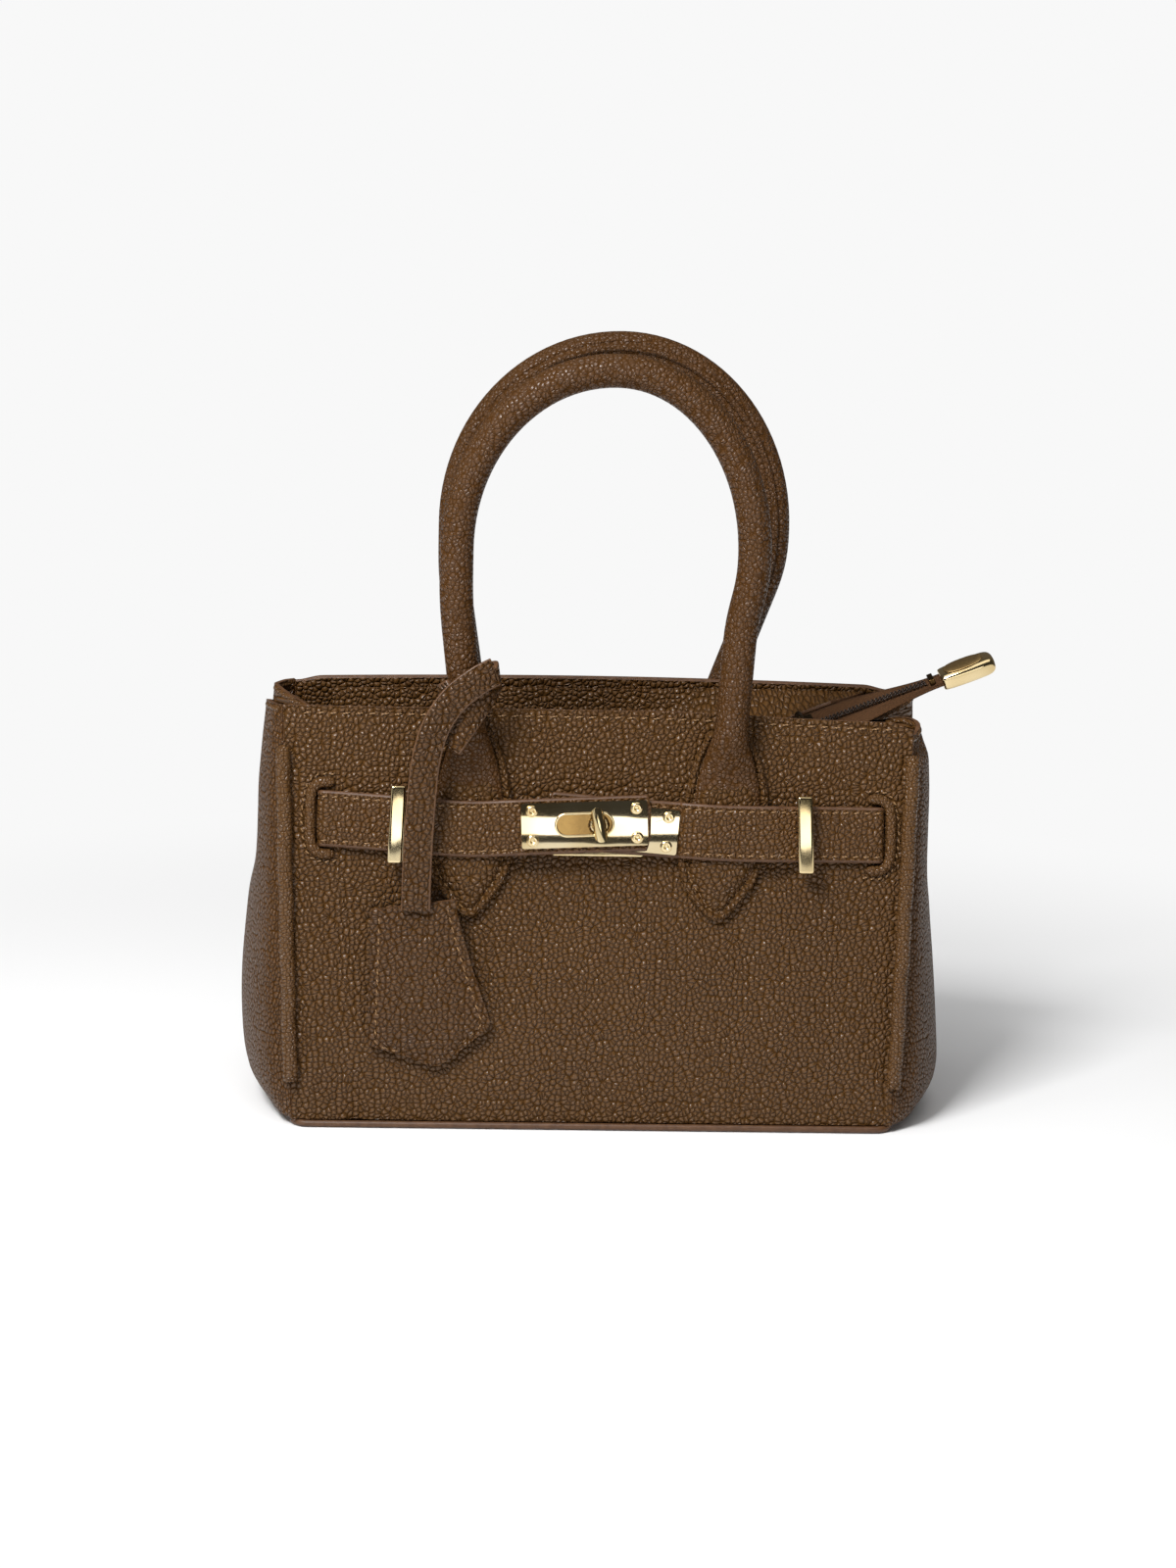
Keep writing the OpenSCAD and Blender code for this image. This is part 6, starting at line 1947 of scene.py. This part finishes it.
@dataclass
class ZipTail:
    """Tape and chain that stick out at the right, with the gilt cap on their end."""

    mouth: Mouth
    bench: Bench
    length: float = 64.0
    tape_t: float = 0.8
    narrow: float = 26.0
    cap_half: float = 4.5

    @cached_property
    def frame(self) -> Matrix:
        """Matrix of the tail: X along it, Z out of its upper side."""
        m = self.mouth
        return (
            Matrix.Translation((m.fork_x, 0, m.fork_z))
            @ Matrix.Rotation(-m.rise, 4, "Y")
            @ Matrix.Rotation(m.twist, 4, "X")
        )

    def half_width(self, x: float) -> float:
        """Half the width of the tape at x."""
        t = ease((x - self.narrow) / (self.length - self.narrow))
        return mix(self.mouth.tape_half - 0.7 * ease((14 - x) / 8), self.cap_half, t)

    def tape(self) -> None:
        """Builds the tape with the slit under the chain."""
        inner = [0.5, 2.9]
        shares = [0.25, 0.5, 0.75, 1.0]
        rows = 48

        def across(i: int, x: float) -> float:
            """Distance from the middle of column i."""
            half = self.half_width(x)
            wide = [min(v, half * 0.7) if v > 1 else v for v in inner]
            places = wide + [mix(wide[-1], half, s) for s in shares]
            k = i - len(places)
            return places[k] if k >= 0 else -places[-k - 1]

        columns = 2 * (len(inner) + len(shares)) - 1

        def place(i: int, j: int) -> Vector:
            """Returns the place of a vertex of the tape."""
            x = mix(2.2, self.length + 5, j / rows)
            return self.frame @ Vector((x, -across(i, x), self.tape_t / 2))

        def hole(p: Vector) -> bool:
            """Says whether a face lies in the slit."""
            q = self.frame.inverted() @ p
            return abs(q.y) < 0.3 and q.x < 60.6

        bm = leaf(columns, rows, place, self.tape_t, (22.6, 68), hole=hole)
        bmesh.ops.recalc_face_normals(bm, faces=bm.faces)
        fin = self.bench.finishes
        self.bench.piece(bm, "tail_tape_weave", "zip_tail", [fin.tape], Slot.TAPE, ["tail_tape"])

    def chain(self) -> None:
        """Builds the two meshing rows of teeth."""
        fin = self.bench.finishes
        parts = bmesh.new()
        for side in (-1, 1):
            line = [self.frame @ Vector((x, side * 0.85, 1.3)) for x in range(1, 61)]
            merge(parts, self.mouth.coil(line, 1.5, 1.7))
        self.bench.piece(parts, "tail_chain_teeth", "zip_tail", [fin.coil], Slot.COIL, ["tail_coils"])

    def cap(self) -> None:
        """Builds the flattened oval cap: a rounded body with a matt panel let into its upper face."""
        fin = self.bench.finishes
        x0, length, half_w, half_h = self.length + 1.2, 20.6, 5.6, 3.5

        def ring(x: float, wide: float, deep: float) -> list[Vector]:
            """Returns one ring of the cap: an oval with fuller corners."""
            points = []
            for k in range(40):
                a = math.tau * k / 40
                c, s = math.cos(a), math.sin(a)
                y = math.copysign(abs(c) ** 0.62, c) * wide
                z = math.copysign(abs(s) ** 0.62, s) * deep
                points.append(self.frame @ Vector((x, y, z)))
            return points

        sizes = (
            (0, 0.74), (0, 0.8), (0.02, 0.86), (0.06, 0.9), (0.2, 0.95), (0.45, 1), (0.7, 1), (0.85, 0.95),
            (0.93, 0.85), (0.98, 0.66), (1, 0.4),
        )
        rings = [ring(x0 + s * length, half_w * size, half_h * min(size * 1.05, 1)) for s, size in sizes]
        self.bench.piece(tube(rings), "tail_cap_metal", "zip_tail", [fin.gold], Slot.GOLD, ["tail_cap"], subdivide=1)
        panel = []
        for share in (0, 0.02, 0.06, 0.13, 0.22, 0.35, 0.5, 0.65, 0.78, 0.87, 0.94, 0.98, 1):
            x = x0 + mix(1.8, length - 3.6, share)
            w = 4.1 * max(1 - abs(2 * share - 1) ** 2.6, 0.0) ** 0.42 + 0.05
            across = ((-1, -0.1), (-0.9, 0.12), (0.9, 0.12), (1, -0.1))
            panel.append([self.frame @ Vector((x, w * y, half_h + h)) for y, h in across])
        self.bench.piece(tube(panel), "tail_cap_panel", "zip_tail", [fin.champagne], Slot.GOLD, bevel=0.1)

    def build(self) -> None:
        """Builds the tail."""
        self.tape()
        self.chain()
        self.cap()


# Studio


@dataclass(frozen=True)
class Studio:
    """Pale paper floor, pale background, soft lamps and the camera of the photograph."""

    eye: tuple[float, float, float] = (-41.8, -1063.9, 310.5)
    yaw: float = math.radians(2.12)
    pitch: float = math.radians(10.29)
    roll: float = math.radians(1.30)
    lens: float = 67.39
    backdrop: str = "#f8f8f8"
    floor_half: float = 3200.0
    aim_z: float = 0.1

    def floor(self) -> None:
        """Lays the paper floor."""
        half = self.floor_half
        bm = grid(8, 8, lambda i, j: Vector((mix(-half, half, i / 8), mix(-half, half, j / 8), 0)))
        mesh = as_mesh("paper_floor", bm)
        mesh.materials.append(StudioPaper("background_paper", "#f2f2f2", self.backdrop).material())
        show("paper_floor", mesh)

    def lamp(self, name: str, at: Vector, size: tuple[float, float], power: float) -> None:
        """Hangs a softbox that points at the bag.

        Args:
            name: Name of the lamp.
            at: Its place in metres.
            size: Its width and height in metres.
            power: Its power in watts.
        """
        data = bpy.data.lights.new(name, "AREA")
        data.shape = "RECTANGLE"
        data.size, data.size_y = size
        data.energy = power
        obj = show(name, data)
        obj.location = at
        obj.rotation_euler = (Vector((0, 0, self.aim_z)) - at).to_track_quat("-Z", "Y").to_euler()

    def world(self) -> None:
        """Fills the room with soft light, and shows the camera a pale background on every side."""
        world = bpy.data.worlds.new("room")
        graph = Graph(world)
        parts = graph.add("SeparateXYZ", {0: graph.add("TexCoord").outputs["Generated"]}).outputs
        rise = graph.remap(parts["Z"], (-0.1, 0.9), smooth=True)
        colour = graph.ramp(rise, ((0.0, "#333230"), (0.35, "#6c6c6c"), (1.0, "#ffffff")))
        sky = graph.add("Background", {"Color": colour, "Strength": 0.3})
        # Reflections see a grey wall behind the object, and a dim room behind the camera.
        wall = graph.ramp(graph.remap(parts["Y"], (-0.2, 0.6)), ((0.0, "#3a3937"), (1.0, "#605c57")))
        mirror = graph.add("Background", {"Color": wall})
        pale = graph.add("Background", {"Color": linear(self.backdrop)})
        path = graph.add("LightPath").outputs
        shiny = graph.math("MAXIMUM", path["Is Glossy Ray"], path["Is Transmission Ray"])
        room = graph.add("MixShader", {0: shiny, 1: sky.outputs[0], 2: mirror.outputs[0]})
        seen = graph.add("MixShader", {0: path["Is Camera Ray"], 1: room.outputs[0], 2: pale.outputs[0]})
        graph.add("OutputWorld", {0: seen.outputs[0]})
        bpy.context.scene.world = world

    def camera(self) -> None:
        """Sets the camera at the photograph's viewpoint."""
        level = Vector((math.sin(self.yaw), math.cos(self.yaw), 0))
        ahead = level * math.cos(self.pitch) - UP * math.sin(self.pitch)
        right = level.cross(UP)
        up = right.cross(ahead)
        x = right * math.cos(self.roll) + up * math.sin(self.roll)
        y = -right * math.sin(self.roll) + up * math.cos(self.roll)
        data = bpy.data.cameras.new("photo_camera")
        data.sensor_fit = "VERTICAL"
        data.sensor_height = 36
        data.lens = self.lens
        data.clip_end = 20
        obj = show("photo_camera", data)
        turn = Matrix((x, y, -ahead)).transposed().to_4x4()
        obj.matrix_world = Matrix.Translation(Vector(self.eye) * MM) @ turn
        bpy.context.scene.camera = obj

    def build(self) -> None:
        """Sets up the whole studio."""
        self.floor()
        self.world()
        self.lamp("key_softbox", Vector((-0.5, -0.86, 1.1)), (0.42, 0.42), 23)
        self.lamp("top_softbox", Vector((0.05, -0.3, 1.5)), (1.5, 1.0), 6)
        self.lamp("left_strip", Vector((-0.62, -0.5, 0.42)), (0.2, 0.6), 0.4)
        self.lamp("front_card", Vector((0.1, -2.0, 0.36)), (1.1, 0.34), 3)
        self.camera()
        bpy.context.scene.view_settings.view_transform = "Standard"


def dress_cad_nodes(nodes: dict[str, bpy.types.Object], finishes: Finishes) -> None:
    """Gives every CAD node that stays its finish, and the metal ones softly rounded edges.

    Args:
        nodes: The CAD nodes by name.
        finishes: The bag's materials.
    """
    own = {"base_board": finishes.board}
    own |= dict.fromkeys(("left_lock_plate", "right_lock_plate"), finishes.plate)
    own |= dict.fromkeys(("tail_stop", "zip_slider", "zip_puller"), finishes.brass)
    own |= dict.fromkeys(("front_handle_core", "rear_handle_core"), finishes.cord)
    plated = (
        "left_keeper", "right_keeper", "keeper_washers", "lock_base_plate", "lock_back_plate",
        "left_plate_screws", "right_plate_screws", "lock_toggle", "tail_cap",
    )
    own |= dict.fromkeys(plated, finishes.gold)
    metals = (finishes.plate, finishes.brass, finishes.gold)
    for name, node in nodes.items():
        material = own.get(name, finishes.leather)
        node.data.materials.clear()
        node.data.materials.append(material)
        if material in metals:
            weld = node.modifiers.new("weld", "WELD")
            weld.merge_threshold = 0.002 * MM
            round_edges(node, "soft_edges", 0.22, 35)
        log.info("%s wears %s until a visible piece replaces it", name, material.name)


def main() -> None:
    """Builds the classes in order."""
    logging.basicConfig(level=logging.INFO, format="%(name)s: %(message)s")
    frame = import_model()
    Studio().build()
    finishes = Finishes()
    bench = Bench(finishes)
    shape = BagShape()
    dress_cad_nodes(frame["nodes"], finishes)
    Shell(shape, bench).build()
    mouth = Mouth(shape, bench)
    mouth.build()
    ZipTail(mouth, bench).build()
    Handle(shape, bench, Face.FRONT, 49.3, 52.2, 270.0, (-0.9, 0.6, 3.2)).build()
    Handle(shape, bench, Face.REAR, 55.3, 60.2, 275.6, (3.9, 6.8, 8.6)).build()
    belt = Belt(shape, bench)
    belt.build()
    Lock(shape, bench, belt).build()
    KeyPouch(shape, bench).build()


if __name__ == "__main__":
    main()
